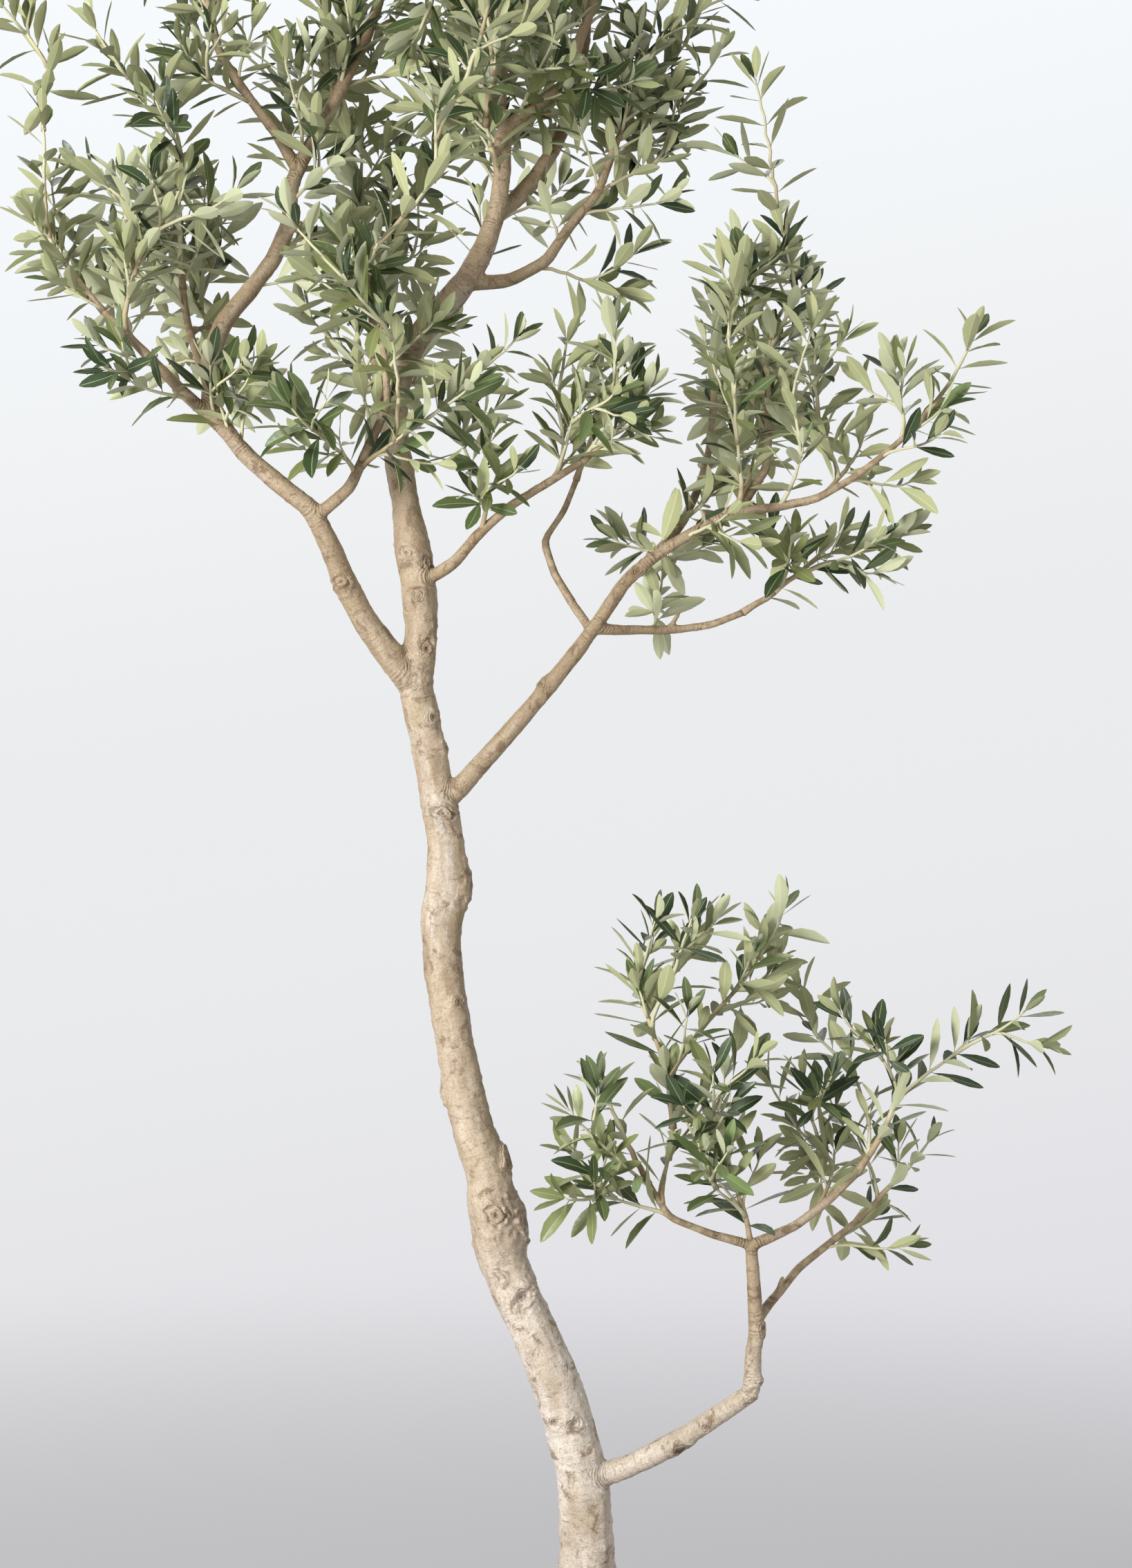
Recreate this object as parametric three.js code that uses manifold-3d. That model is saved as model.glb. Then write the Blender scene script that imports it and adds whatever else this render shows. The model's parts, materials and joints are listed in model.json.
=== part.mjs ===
// Olive tree in a plain round terracotta pot: pot, soil, trunk, boughs and masses of foliage.
// Millimetres, +Z up. The origin is the middle of the pot's flat underside, the tree's front
// faces -Y and its long lower boughs reach to the right, +X.
import * as THREE from 'three';
import { mergeVertices } from 'three/addons/utils/BufferGeometryUtils.js';
import Module from 'manifold-3d';

const wasm = await Module();
wasm.setup();

// Driving dimensions

const gap = 0.3; // clearance between pieces that touch

const potHeight = 380;
const potFootRadius = 150;
const potShoulderRadius = 192; // under the rim band
const potWall = 16;
const rimBand = 62; // height of the rim band
const rimStep = 13; // how far the band stands out from the wall
const rimRound = 5;
const roundSteps = 24; // facets round the pot and the soil

const soilTop = 345; // where the trunk is cut flat
const soilFall = 8; // drop of the soil from the trunk to the pot's wall
const soilMound = 80; // radius of the level soil round the trunk

const limbStep = 46; // length of one facet along a limb
const stoutLimb = 9; // base radius over which a limb has stoutSides facets round it
const stoutSides = 8;
const thinSides = 5;
const collar = 0.28; // how much a limb swells where it leaves its parent, as a share of its radius
const collarReach = 22; // how far that swelling carries along the limb

const lobeRise = 0.75; // how far a mass bulges at its lobes, as a share of its core's radius
const lobeSharpness = 5;
const lobeCount = 8;
const bigMass = 252; // longest side over which a mass starts from the finer faceted ball
const bigMassFacets = 2;
const smallMassFacets = 1;

// Each limb starts on its parent at a share of the parent's length and goes on in legs.
// A leg is [length, lean, depth]: lean is degrees from upright, positive to the right (+X), and
// depth is degrees towards the back (+Y). base and tip are radii; bulges are [along, rise, spread].
const limbs = [
  {
    name: 'trunk', start: [0, 0, soilTop], base: 30.5, tip: 18.5, taper: 1.5, sides: 10,
    flare: 14, flareReach: 42, bulges: [[495, 5, 55], [850, 4, 45]],
    legs: [[180, 0, 0], [130, -15, 0], [140, -24, 0], [80, -8, 0], [70, -17, 0], [135, -11, 0],
      [75, -6, 0], [65, 8, 0], [65, -8, 0], [150, -11, 0]],
  },
  {
    name: 'leader', from: 'trunk', share: 1, base: 17.5, tip: 13,
    bulges: [[125, 4, 40]],
    legs: [[55, 9, 0], [90, -7, 0], [110, -9, 0], [40, -5, 0], [40, 12, 0], [50, 28, 0], [75, 42, 0]],
  },
  {
    name: 'bough_left', from: 'trunk', share: 0.99, base: 16, tip: 4,
    legs: [[45, -40, -13], [60, -35, -15], [65, -23, -14], [50, -24, -11], [75, -52, -8],
      [70, -42, 0], [40, -50, 0], [60, -44, 0], [70, -45, 0]],
  },
  {
    name: 'bough_left_inner', from: 'bough_left', share: 0.4, base: 7, tip: 4,
    legs: [[30, 62, -19], [70, 28, -10], [45, 26, -8], [50, -4, -6]],
  },
  {
    name: 'bough_left_high', from: 'bough_left', share: 0.66, base: 11, tip: 4.5, taper: 0.6,
    legs: [[35, -20, 26], [50, -11, 29], [60, 17, 19], [70, 38, 17], [70, 22, 13], [55, 1, 10],
      [40, 36, 7], [75, 25, 8], [75, 25, 8], [70, 12, 8]],
  },
  {
    name: 'bough_left_fork', from: 'bough_left_high', share: 0.57, base: 7, tip: 4,
    legs: [[60, -29, -10], [75, -38, -11], [60, -15, -5]],
  },
  {
    name: 'bough_top', from: 'leader', share: 1, base: 12, tip: 4,
    legs: [[65, 25, 9], [60, 9, 10], [55, 3, 10], [80, 57, -7], [40, 16, 0], [55, 19, 0],
      [80, 9, 0]],
  },
  {
    name: 'bough_top_fork', from: 'bough_top', share: 0.42, base: 5.5, tip: 3.5,
    legs: [[55, -44, -11], [55, -22, -11], [85, -2, -7], [60, 8, 0]],
  },
  {
    name: 'bough_top_back', from: 'bough_top', share: 0.14, base: 10.5, tip: 5,
    legs: [[50, 32, 35], [65, 36, 27], [75, 24, 20], [80, 12, 16], [60, 4, 20]],
  },
  {
    name: 'bough_right_high', from: 'leader', share: 0.99, base: 8.5, tip: 4.5,
    legs: [[25, 105, 0], [50, 67, 11], [40, 52, 15], [35, 26, 9], [45, 40, 8], [50, 20, 8]],
  },
  {
    name: 'bough_small_right', from: 'leader', share: 0.22, base: 7.5, tip: 4,
    legs: [[45, 65, -26], [70, 42, -16], [40, 58, -14], [80, 59, -7]],
  },
  {
    name: 'bough_right', from: 'trunk', share: 0.865, base: 11, tip: 3,
    legs: [[140, 42, -4], [115, 39, -5], [60, 33, 0], [40, 48, 0], [55, 58, 0], [40, 61, 0],
      [55, 83, -11], [50, 78, -6], [50, 58, -6], [35, 52, 0], [45, 48, 0]],
  },
  {
    name: 'bough_right_riser', from: 'bough_right', share: 0.655, base: 7, tip: 4.5,
    legs: [[35, 48, 34], [35, 46, 25], [55, 5, 6]],
  },
  {
    name: 'bough_right_lower', from: 'bough_right', share: 0.375, base: 6, tip: 3,
    legs: [[45, 90, 26], [70, 88, 17], [45, 76, 6], [35, 59, 0], [40, 43, 0], [30, 60, -10],
      [50, 76, -9]],
  },
  {
    name: 'bough_right_thin', from: 'bough_right', share: 0.37, base: 5, tip: 3.5,
    legs: [[40, -34, 31], [85, -25, 20], [45, 33, 13], [40, 21, 0]],
  },
  {
    name: 'bough_right_back', from: 'bough_right', share: 0.53, base: 6.5, tip: 4,
    legs: [[100, 35, 52], [110, 20, 40], [50, 5, 20]],
  },
  {
    name: 'bough_low', from: 'trunk', share: 0.17, base: 13, tip: 10,
    legs: [[55, 65, -12], [45, 61, -12], [65, 56, -9], [55, 54, -10]],
  },
  {
    name: 'bough_low_riser', from: 'bough_low', share: 1, base: 9.5, tip: 6.5,
    legs: [[38, 3, -4], [35, -6, -3], [50, 0, -1], [35, -6, 0]],
  },
  {
    name: 'bough_low_left', from: 'bough_low_riser', share: 1, base: 5, tip: 3.5,
    legs: [[30, -77, -10], [30, -69, -19], [40, -65, -14], [45, -30, -5]],
  },
  {
    name: 'bough_low_right', from: 'bough_low_riser', share: 0.98, base: 6, tip: 4.5,
    legs: [[20, 75, 0], [40, 60, 7], [35, 53, 8], [50, 47, 7]],
  },
  {
    name: 'bough_low_side', from: 'bough_low_riser', share: 0.46, base: 5.5, tip: 3.5,
    legs: [[35, 54, 44], [35, 31, 35], [40, 61, 30], [40, 51, 14], [35, 54, 14]],
  },
  {
    name: 'bough_back', from: 'leader', share: 0.5, base: 9, tip: 5,
    legs: [[80, -20, 50], [90, -12, 35], [80, -5, 20]],
  },
  {
    name: 'bough_back_left', from: 'bough_left', share: 0.62, base: 7, tip: 4,
    legs: [[110, -30, 50], [130, -22, 40], [50, -10, 20]],
  },
  {
    name: 'bough_back_right', from: 'leader', share: 0.8, base: 8.5, tip: 5,
    legs: [[90, 40, 50], [130, 25, 35], [110, 5, 15], [60, 0, 10]],
  },
];

// Each mass of foliage: the middle and the size of its box before it leans, and its lean in
// degrees from upright, positive to the right.
const masses = [
  { name: 'mass_left_tip', at: [-590, -60, 2065], size: [130, 150, 250], lean: -18 },
  { name: 'mass_left_outer', at: [-530, -30, 1885], size: [190, 210, 240], lean: -10 },
  { name: 'mass_left_low', at: [-455, -110, 1725], size: [230, 120, 135], lean: 18 },
  { name: 'mass_left_inner', at: [-405, -60, 1925], size: [125, 130, 125], lean: 20 },
  { name: 'mass_left_shoot', at: [-460, -80, 2035], size: [105, 130, 210], lean: -32 },
  { name: 'mass_left_high_a', at: [-415, 20, 2140], size: [180, 240, 240], lean: -14 },
  { name: 'mass_left_high_b', at: [-275, 70, 2120], size: [140, 230, 250], lean: 14 },
  { name: 'mass_top_left', at: [-405, 0, 2345], size: [210, 260, 250], lean: -16 },
  { name: 'mass_center_front', at: [-230, -185, 1800], size: [230, 190, 190], lean: 12 },
  { name: 'mass_center_shoot', at: [-145, -180, 1995], size: [105, 120, 260], lean: 18 },
  { name: 'mass_center_back', at: [-240, 215, 1970], size: [195, 280, 330], lean: 0 },
  { name: 'mass_low_left_small', at: [-300, -120, 1665], size: [110, 100, 120], lean: 0 },
  { name: 'mass_upper_right_a', at: [-75, -40, 2070], size: [155, 190, 260], lean: 10 },
  { name: 'mass_upper_right_b', at: [90, 65, 2075], size: [180, 210, 280], lean: 22 },
  { name: 'mass_top_center', at: [-190, 0, 2400], size: [240, 260, 350], lean: -4 },
  { name: 'mass_top_right', at: [60, 60, 2350], size: [250, 260, 300], lean: 14 },
  { name: 'mass_top_front', at: [-50, -215, 2280], size: [250, 200, 300], lean: 6 },
  { name: 'mass_top_back', at: [-65, 285, 2240], size: [310, 240, 420], lean: 4 },
  { name: 'mass_right_mid_small', at: [-122, -85, 1680], size: [130, 140, 190], lean: 0 },
  { name: 'mass_right_mid', at: [10, -65, 1710], size: [190, 210, 215], lean: 10 },
  { name: 'mass_right_tall_top', at: [178, -5, 2010], size: [85, 100, 270], lean: 4 },
  { name: 'mass_right_tall', at: [200, -15, 1770], size: [220, 230, 295], lean: 0 },
  { name: 'mass_right_back', at: [215, 235, 1780], size: [220, 220, 270], lean: 0 },
  { name: 'mass_right_tip', at: [350, -45, 1690], size: [115, 130, 150], lean: 35 },
  { name: 'mass_right_low', at: [100, 60, 1560], size: [180, 160, 215], lean: 10 },
  { name: 'mass_right_low_tip', at: [290, 10, 1550], size: [200, 160, 130], lean: -8 },
  { name: 'mass_back_left', at: [-490, 230, 1935], size: [210, 250, 250], lean: -12 },
  { name: 'mass_low_left', at: [15, -95, 885], size: [165, 160, 190], lean: -18 },
  { name: 'mass_low_center', at: [80, -60, 1115], size: [140, 140, 210], lean: -8 },
  { name: 'mass_low_middle', at: [120, -60, 940], size: [150, 220, 230], lean: 0 },
  { name: 'mass_low_right', at: [275, 10, 975], size: [200, 260, 240], lean: 8 },
  { name: 'mass_low_right_high', at: [205, 10, 1110], size: [90, 110, 140], lean: 10 },
  { name: 'mass_low_right_tip', at: [425, -40, 1020], size: [160, 120, 100], lean: -22 },
  { name: 'mass_low_right_low', at: [315, 50, 830], size: [190, 170, 160], lean: 10 },
];

const finishes = {
  terracotta: { color: 0xb5704f, roughness: 0.85 },
  soil: { color: 0x3b2c22, roughness: 1 },
  bark: { color: 0xa08f79, roughness: 0.8 },
  leaves: { color: 0x76805f, roughness: 0.6 },
};

// Frame and helpers

const tree = new THREE.Group();

function addPart(name, geometry, finish) {
  const material = new THREE.MeshStandardMaterial({ ...finishes[finish], metalness: 0 });
  const mesh = new THREE.Mesh(geometry, material);
  mesh.name = name;
  tree.add(mesh);
}

function solidFrom(geometry) {
  const bare = geometry.clone();
  bare.deleteAttribute('normal');
  bare.deleteAttribute('uv');
  const merged = mergeVertices(bare, 1e-3);
  return new wasm.Manifold(new wasm.Mesh({
    numProp: 3,
    vertProperties: Float32Array.from(merged.attributes.position.array),
    triVerts: Uint32Array.from(merged.index.array),
  }));
}

function geometryFrom(solid) {
  const mesh = solid.getMesh();
  const geometry = new THREE.BufferGeometry();
  geometry.setAttribute('position', new THREE.BufferAttribute(mesh.vertProperties, 3));
  geometry.setIndex(new THREE.BufferAttribute(mesh.triVerts, 1));
  geometry.computeVertexNormals();
  return geometry;
}

function boxesMeet(a, b) {
  const first = a.boundingBox();
  const second = b.boundingBox();
  return [0, 1, 2].every((i) => first.min[i] < second.max[i] && second.min[i] < first.max[i]);
}

// Cuts a solid clear of the others that it meets, and keeps its largest piece.
function cutClear(solid, others) {
  let left = solid;
  for (const other of others) {
    if (boxesMeet(left, other)) left = left.subtract(other);
  }
  return left.decompose().reduce((best, piece) => (piece.volume() > best.volume() ? piece : best));
}

// Limbs

function limbCurve(start, legs) {
  const points = [start.clone()];
  for (const [length, leanDegrees, depthDegrees] of legs) {
    const lean = THREE.MathUtils.degToRad(leanDegrees);
    const depth = THREE.MathUtils.degToRad(depthDegrees);
    const step = new THREE.Vector3(
      Math.sin(lean) * Math.cos(depth),
      Math.sin(depth),
      Math.cos(lean) * Math.cos(depth),
    );
    points.push(points.at(-1).clone().addScaledVector(step, length));
  }
  return new THREE.CatmullRomCurve3(points, false, 'centripetal');
}

function limbRadius(limb, along, length) {
  const share = along / length;
  const tapered = limb.tip + (limb.base - limb.tip) * (1 - share) ** (limb.taper ?? 1);
  const flare = limb.flare ?? limb.base * collar;
  const flareReach = limb.flareReach ?? collarReach;
  const swollen = (limb.bulges ?? []).reduce(
    (sum, [middle, rise, spread]) => sum + rise * Math.exp(-(((along - middle) / spread) ** 2)),
    0,
  );
  return tapered + flare * Math.exp(-along / flareReach) + swollen;
}

// A closed cylinder, bent along the limb's curve and given its radius at each ring.
function limbGeometry(limb, grow) {
  const length = limb.curve.getLength();
  const steps = Math.max(3, Math.round(length / limbStep));
  const sides = limb.sides ?? (limb.base > stoutLimb ? stoutSides : thinSides);
  const geometry = new THREE.CylinderGeometry(1, 1, 1, sides, steps);
  const { tangents, normals, binormals } = limb.curve.computeFrenetFrames(steps);
  const position = geometry.attributes.position;
  for (let i = 0; i < position.count; i += 1) {
    const ring = Math.round((position.getY(i) + 0.5) * steps);
    const share = ring / steps;
    const radius = limbRadius(limb, share * length, length) + grow;
    const point = limb.curve.getPointAt(share);
    point.addScaledVector(normals[ring], position.getX(i) * radius);
    point.addScaledVector(binormals[ring], -position.getZ(i) * radius);
    if (ring === 0) point.addScaledVector(tangents[0], -grow);
    if (ring === steps) point.addScaledVector(tangents[steps], grow);
    position.setXYZ(i, point.x, point.y, point.z);
  }
  return geometry;
}

const limbByName = {};
const limbSpaces = []; // every limb, grown by the gap

for (const limb of limbs) {
  const parent = limbByName[limb.from];
  const start = parent ? parent.curve.getPointAt(limb.share) : new THREE.Vector3(...limb.start);
  limb.curve = limbCurve(start, limb.legs);
  limbByName[limb.name] = limb;
  const whole = solidFrom(limbGeometry(limb, 0));
  const solid = cutClear(whole, limbSpaces);
  limbSpaces.push(solidFrom(limbGeometry(limb, gap)));
  limb.solid = solid;
}

// Masses of foliage

function randomDirection() {
  const around = 2 * Math.PI * THREE.MathUtils.seededRandom();
  const up = 2 * THREE.MathUtils.seededRandom() - 1;
  const flat = Math.sqrt(1 - up * up);
  return new THREE.Vector3(flat * Math.cos(around), flat * Math.sin(around), up);
}

// A faceted ball with lobes of its own, stretched to fill its box, leant over and put in place.
function massGeometry(mass, seed, grow) {
  THREE.MathUtils.seededRandom(seed);
  const lobes = Array.from({ length: lobeCount }, () => ({
    towards: randomDirection(),
    rise: lobeRise * (0.4 + 0.6 * THREE.MathUtils.seededRandom()),
  }));
  const facets = Math.max(...mass.size) > bigMass ? bigMassFacets : smallMassFacets;
  const geometry = new THREE.IcosahedronGeometry(1, facets);
  const position = geometry.attributes.position;
  const point = new THREE.Vector3();
  for (let i = 0; i < position.count; i += 1) {
    point.fromBufferAttribute(position, i);
    const reach = lobes.reduce(
      (sum, lobe) => sum + lobe.rise * Math.max(0, point.dot(lobe.towards)) ** lobeSharpness,
      1,
    );
    point.multiplyScalar(reach);
    position.setXYZ(i, point.x, point.y, point.z);
  }
  geometry.computeBoundingBox();
  const size = geometry.boundingBox.getSize(new THREE.Vector3());
  geometry.center();
  geometry.scale(
    (mass.size[0] + 2 * grow) / size.x,
    (mass.size[1] + 2 * grow) / size.y,
    (mass.size[2] + 2 * grow) / size.z,
  );
  geometry.rotateY(THREE.MathUtils.degToRad(mass.lean));
  geometry.translate(...mass.at);
  return geometry;
}

const massSpaces = []; // every mass so far, grown well past the gap, as its facets lie aslant

masses.forEach((mass, index) => {
  const whole = solidFrom(massGeometry(mass, index + 1, 0));
  mass.solid = cutClear(whole, [...limbSpaces, ...massSpaces]);
  massSpaces.push(solidFrom(massGeometry(mass, index + 1, 2 * gap)));
});

// Pot and soil

function turned(profile) {
  const points = profile.map(([radius, height]) => new THREE.Vector2(radius, height));
  const geometry = new THREE.LatheGeometry(points, roundSteps);
  geometry.rotateX(Math.PI / 2);
  return geometry;
}

const bandFoot = potHeight - rimBand;
const rimRadius = potShoulderRadius + rimStep;
const innerTop = potShoulderRadius - potWall;
const innerFoot = potFootRadius - potWall;

// Inside radius of the pot at a height over its underside.
function innerRadius(height) {
  return innerFoot + (innerTop - innerFoot) * Math.min(1, (height - potWall) / (bandFoot - potWall));
}

const potProfile = [
  [0, 0],
  [potFootRadius, 0],
  [potShoulderRadius, bandFoot],
  [rimRadius - rimRound, bandFoot],
  [rimRadius, bandFoot + rimRound],
  [rimRadius, potHeight - rimRound],
  [rimRadius - rimRound, potHeight],
  [innerTop + rimRound, potHeight],
  [innerTop, potHeight - rimRound],
  [innerTop, bandFoot],
  [innerFoot, potWall],
  [0, potWall],
];

const soilProfile = [
  [0, potWall + gap],
  [innerFoot - gap, potWall + gap],
  [innerTop - gap, bandFoot],
  [innerRadius(soilTop) - gap, soilTop - soilFall],
  [soilMound, soilTop - gap],
  [0, soilTop - gap],
];

addPart('pot', turned(potProfile), 'terracotta');
addPart('soil', turned(soilProfile), 'soil');
for (const limb of limbs) addPart(limb.name, geometryFrom(limb.solid), 'bark');
for (const mass of masses) addPart(mass.name, geometryFrom(mass.solid), 'leaves');

export default tree;
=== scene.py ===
import bpy
import bmesh
import json
import math
import random
import numpy as np
from mathutils import Matrix, Vector, noise
from mathutils.bvhtree import BVHTree
from mathutils.kdtree import KDTree

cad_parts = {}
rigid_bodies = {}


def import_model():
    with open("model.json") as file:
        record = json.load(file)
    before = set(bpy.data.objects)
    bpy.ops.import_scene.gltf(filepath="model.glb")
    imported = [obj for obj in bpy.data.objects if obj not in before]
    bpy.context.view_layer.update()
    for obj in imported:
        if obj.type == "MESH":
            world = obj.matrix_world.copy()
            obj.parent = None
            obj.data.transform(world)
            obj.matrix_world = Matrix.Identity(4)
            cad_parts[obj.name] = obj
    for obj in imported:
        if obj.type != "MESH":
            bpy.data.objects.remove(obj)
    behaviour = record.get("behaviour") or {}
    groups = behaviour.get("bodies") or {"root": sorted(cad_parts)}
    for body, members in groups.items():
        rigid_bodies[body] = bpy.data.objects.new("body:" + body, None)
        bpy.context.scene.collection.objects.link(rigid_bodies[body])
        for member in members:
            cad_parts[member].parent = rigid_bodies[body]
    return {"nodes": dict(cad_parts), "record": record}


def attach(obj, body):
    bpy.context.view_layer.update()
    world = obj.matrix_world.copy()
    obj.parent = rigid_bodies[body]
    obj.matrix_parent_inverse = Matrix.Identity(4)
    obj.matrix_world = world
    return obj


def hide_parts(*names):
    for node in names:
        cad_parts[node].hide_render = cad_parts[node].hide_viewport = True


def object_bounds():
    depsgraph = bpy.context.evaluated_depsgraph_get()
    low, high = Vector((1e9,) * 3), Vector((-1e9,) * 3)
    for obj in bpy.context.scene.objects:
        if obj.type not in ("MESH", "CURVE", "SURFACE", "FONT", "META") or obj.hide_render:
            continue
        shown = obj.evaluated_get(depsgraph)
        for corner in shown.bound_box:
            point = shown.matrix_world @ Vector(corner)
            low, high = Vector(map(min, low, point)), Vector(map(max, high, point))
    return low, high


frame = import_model()
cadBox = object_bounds()
nodes = frame["nodes"]
scene = bpy.context.scene
slotOf = {s["node"]: s["material_slot"] for s in frame["record"]["subparts"]}
limbNodes = [n for n in slotOf if slotOf[n] == "bark"]
massNodes = [n for n in slotOf if slotOf[n] == "leaves"]
up = np.array((0.0, 0.0, 1.0))
print("frame loaded:", len(limbNodes), "limbs,", len(massNodes), "masses")


# helpers

def unit(v):
    return v / max(np.linalg.norm(v), 1e-12)


def addObject(name, data):
    thing = bpy.data.objects.new(name, data)
    scene.collection.objects.link(thing)
    return thing


def linkPiece(name, mesh, slot, *replaced):
    piece = addObject(name, mesh)
    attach(piece, "root")
    if replaced:
        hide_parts(*replaced)
    return piece


def finishedMesh(name, bm):
    mesh = bpy.data.meshes.new(name)
    bm.to_mesh(mesh)
    bm.free()
    return mesh


def bakedMesh(name, holder):
    # the mesh as its bevel or its modifiers leave it
    graph = bpy.context.evaluated_depsgraph_get()
    mesh = bpy.data.meshes.new_from_object(holder.evaluated_get(graph))
    bpy.data.objects.remove(holder)
    mesh.name = name
    return mesh


def joinedMesh(name, copies, smooth):
    # many small things in one mesh: each one's points, triangles and material numbers
    starts = np.cumsum([0] + [len(points) for points, _, _ in copies])
    points = np.concatenate([points for points, _, _ in copies])
    tris = np.concatenate([tris + start for (_, tris, _), start in zip(copies, starts)])
    marks = np.concatenate([marks for _, _, marks in copies])
    mesh = bpy.data.meshes.new(name)
    mesh.vertices.add(len(points))
    mesh.vertices.foreach_set("co", points.ravel())
    mesh.loops.add(tris.size)
    mesh.loops.foreach_set("vertex_index", tris.ravel())
    mesh.polygons.add(len(tris))
    mesh.polygons.foreach_set("loop_start", np.arange(len(tris)) * 3)
    mesh.polygons.foreach_set("material_index", marks)
    mesh.polygons.foreach_set("use_smooth", np.full(len(tris), smooth))
    mesh.update(calc_edges=True)
    mesh.validate()
    return mesh


def readSolid(node):
    bm = bmesh.new()
    bm.from_mesh(nodes[node].data)
    bmesh.ops.remove_doubles(bm, verts=bm.verts, dist=1e-5)
    bm.verts.index_update()
    bm.normal_update()
    return bm


def pointsOf(bm):
    return np.array([v.co for v in bm.verts])


def trianglesOf(bm):
    return np.array([[v.index for v in f.verts] for f in bm.faces])


def valuesOf(mesh, key):
    values = np.zeros(len(mesh.vertices) * 3)
    mesh.vertices.foreach_get(key, values)
    return values.reshape(-1, 3)


def addValues(mesh, name, values):
    mesh.attributes.new(name, "FLOAT", "POINT").data.foreach_set("value", values)


def lengthsAlong(points):
    return np.r_[0, np.cumsum(np.linalg.norm(np.diff(points, axis=0), axis=1))]


def headingsAlong(points):
    headings = np.gradient(points, axis=0)
    return headings / np.linalg.norm(headings, axis=1)[:, None]


def pointAlong(at, along, points):
    return np.stack([np.interp(at, along, points[:, i]) for i in range(3)], -1)


# materials

def newMaterial(name, colour, roughness, specular=0.5):
    material = bpy.data.materials.new(name)
    material.use_nodes = True
    shader = material.node_tree.nodes["Principled BSDF"]
    shader.inputs["Base Color"].default_value = (*colour, 1)
    shader.inputs["Roughness"].default_value = roughness
    shader.inputs["Specular IOR Level"].default_value = specular
    return material, material.node_tree, shader


def addNode(tree, kind, inputs=None, **settings):
    node = tree.nodes.new(kind)
    for key, value in settings.items():
        setattr(node, key, value)
    for key, value in (inputs or {}).items():
        socket = node.inputs[key]
        if isinstance(value, bpy.types.NodeSocket):
            tree.links.new(value, socket)
        else:
            socket.default_value = value
    return node


def noiseAt(tree, place, scale, detail=4, roughness=0.55, distortion=0):
    return addNode(tree, "ShaderNodeTexNoise", {
        "Vector": place, "Scale": scale, "Detail": detail,
        "Roughness": roughness, "Distortion": distortion}).outputs["Fac"]


def spread(tree, value, low, high, toLow=0.0, toHigh=1.0):
    return addNode(tree, "ShaderNodeMapRange", {
        "Value": value, "From Min": low, "From Max": high,
        "To Min": toLow, "To Max": toHigh}, interpolation_type="SMOOTHSTEP").outputs["Result"]


def blendColour(tree, share, first, second, mode="MIX"):
    mix = addNode(tree, "ShaderNodeMix", data_type="RGBA", blend_type=mode)
    sockets = {"Factor": mix.inputs[0], "A": mix.inputs[6], "B": mix.inputs[7]}
    for key, value in (("Factor", share), ("A", first), ("B", second)):
        if isinstance(value, bpy.types.NodeSocket):
            tree.links.new(value, sockets[key])
        elif key == "Factor":
            sockets[key].default_value = value
        else:
            sockets[key].default_value = (*value, 1)
    return mix.outputs[2]


def mathNode(tree, operation, first, second=0.0):
    return addNode(tree, "ShaderNodeMath", {0: first, 1: second}, operation=operation).outputs[0]


def times(tree, first, second):
    return mathNode(tree, "MULTIPLY", first, second)


def added(tree, first, *others):
    for other in others:
        first = mathNode(tree, "ADD", first, other)
    return first


def objectPlace(tree):
    return addNode(tree, "ShaderNodeTexCoord").outputs["Object"]


def attributeOf(tree, name, output="Fac"):
    return addNode(tree, "ShaderNodeAttribute", attribute_name=name).outputs[output]


def bumpFrom(tree, shader, height, strength, distance):
    bump = addNode(tree, "ShaderNodeBump", {
        "Height": height, "Strength": strength, "Distance": distance})
    tree.links.new(bump.outputs["Normal"], shader.inputs["Normal"])


def stretched(tree, place, along):
    # squeezes the place along the limb, so that a noise makes rings across it
    return addNode(tree, "ShaderNodeMapping", {"Vector": place, "Scale": (1, 1, along)}).outputs[0]


barkColours = {
    "light": (0.520, 0.412, 0.292), "taupe": (0.335, 0.245, 0.155), "brown": (0.200, 0.135, 0.080),
    # bloomAndSheen: a pale colour, partly the bark's bloom, partly a painted sheen
    "stain": (0.14, 0.094, 0.054), "ochre": (0.38, 0.300, 0.155), "bloomAndSheen": (0.74, 0.675, 0.600),
    "thin": (0.66, 0.60, 0.47), "lenticel": (0.72, 0.58, 0.39), "knot": (0.095, 0.060, 0.034),
}


# patches laid one over another, by the order here: how far they stretch along the limb, the noise's
# scale, detail, roughness and distortion, its span, their share and their colour
barkPatches = {
    "ochre": (1, 15, 7, 0.66, 0.5, 0.52, 0.70, 0.8, "ochre"),
    # pale patches along the limbs: partly bloom, partly a painted sheen
    "bloomAndSheen": (0.22, 26, 6, 0.62, 0, 0.50, 0.69, 0.60, "bloomAndSheen"),
    "foot": (0.4, 22, 5, 0.6, 0, 0.34, 0.60, 0.85, "bloomAndSheen"),
    "rings": (5.0, 40, 6, 0.62, 0, 0.55, 0.70, 0.5, "taupe"),
    "mottle": (1, 52, 7, 0.7, 0.7, 0.53, 0.64, 0.8, "brown"),
    "stain": (0.45, 17, 5, 0.6, 0.8, 0.60, 0.74, 0.8, "stain"),
    "grain": (1, 460, 5, 0.75, 0, 0.42, 0.66, 0.42, "brown"),
}


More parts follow.
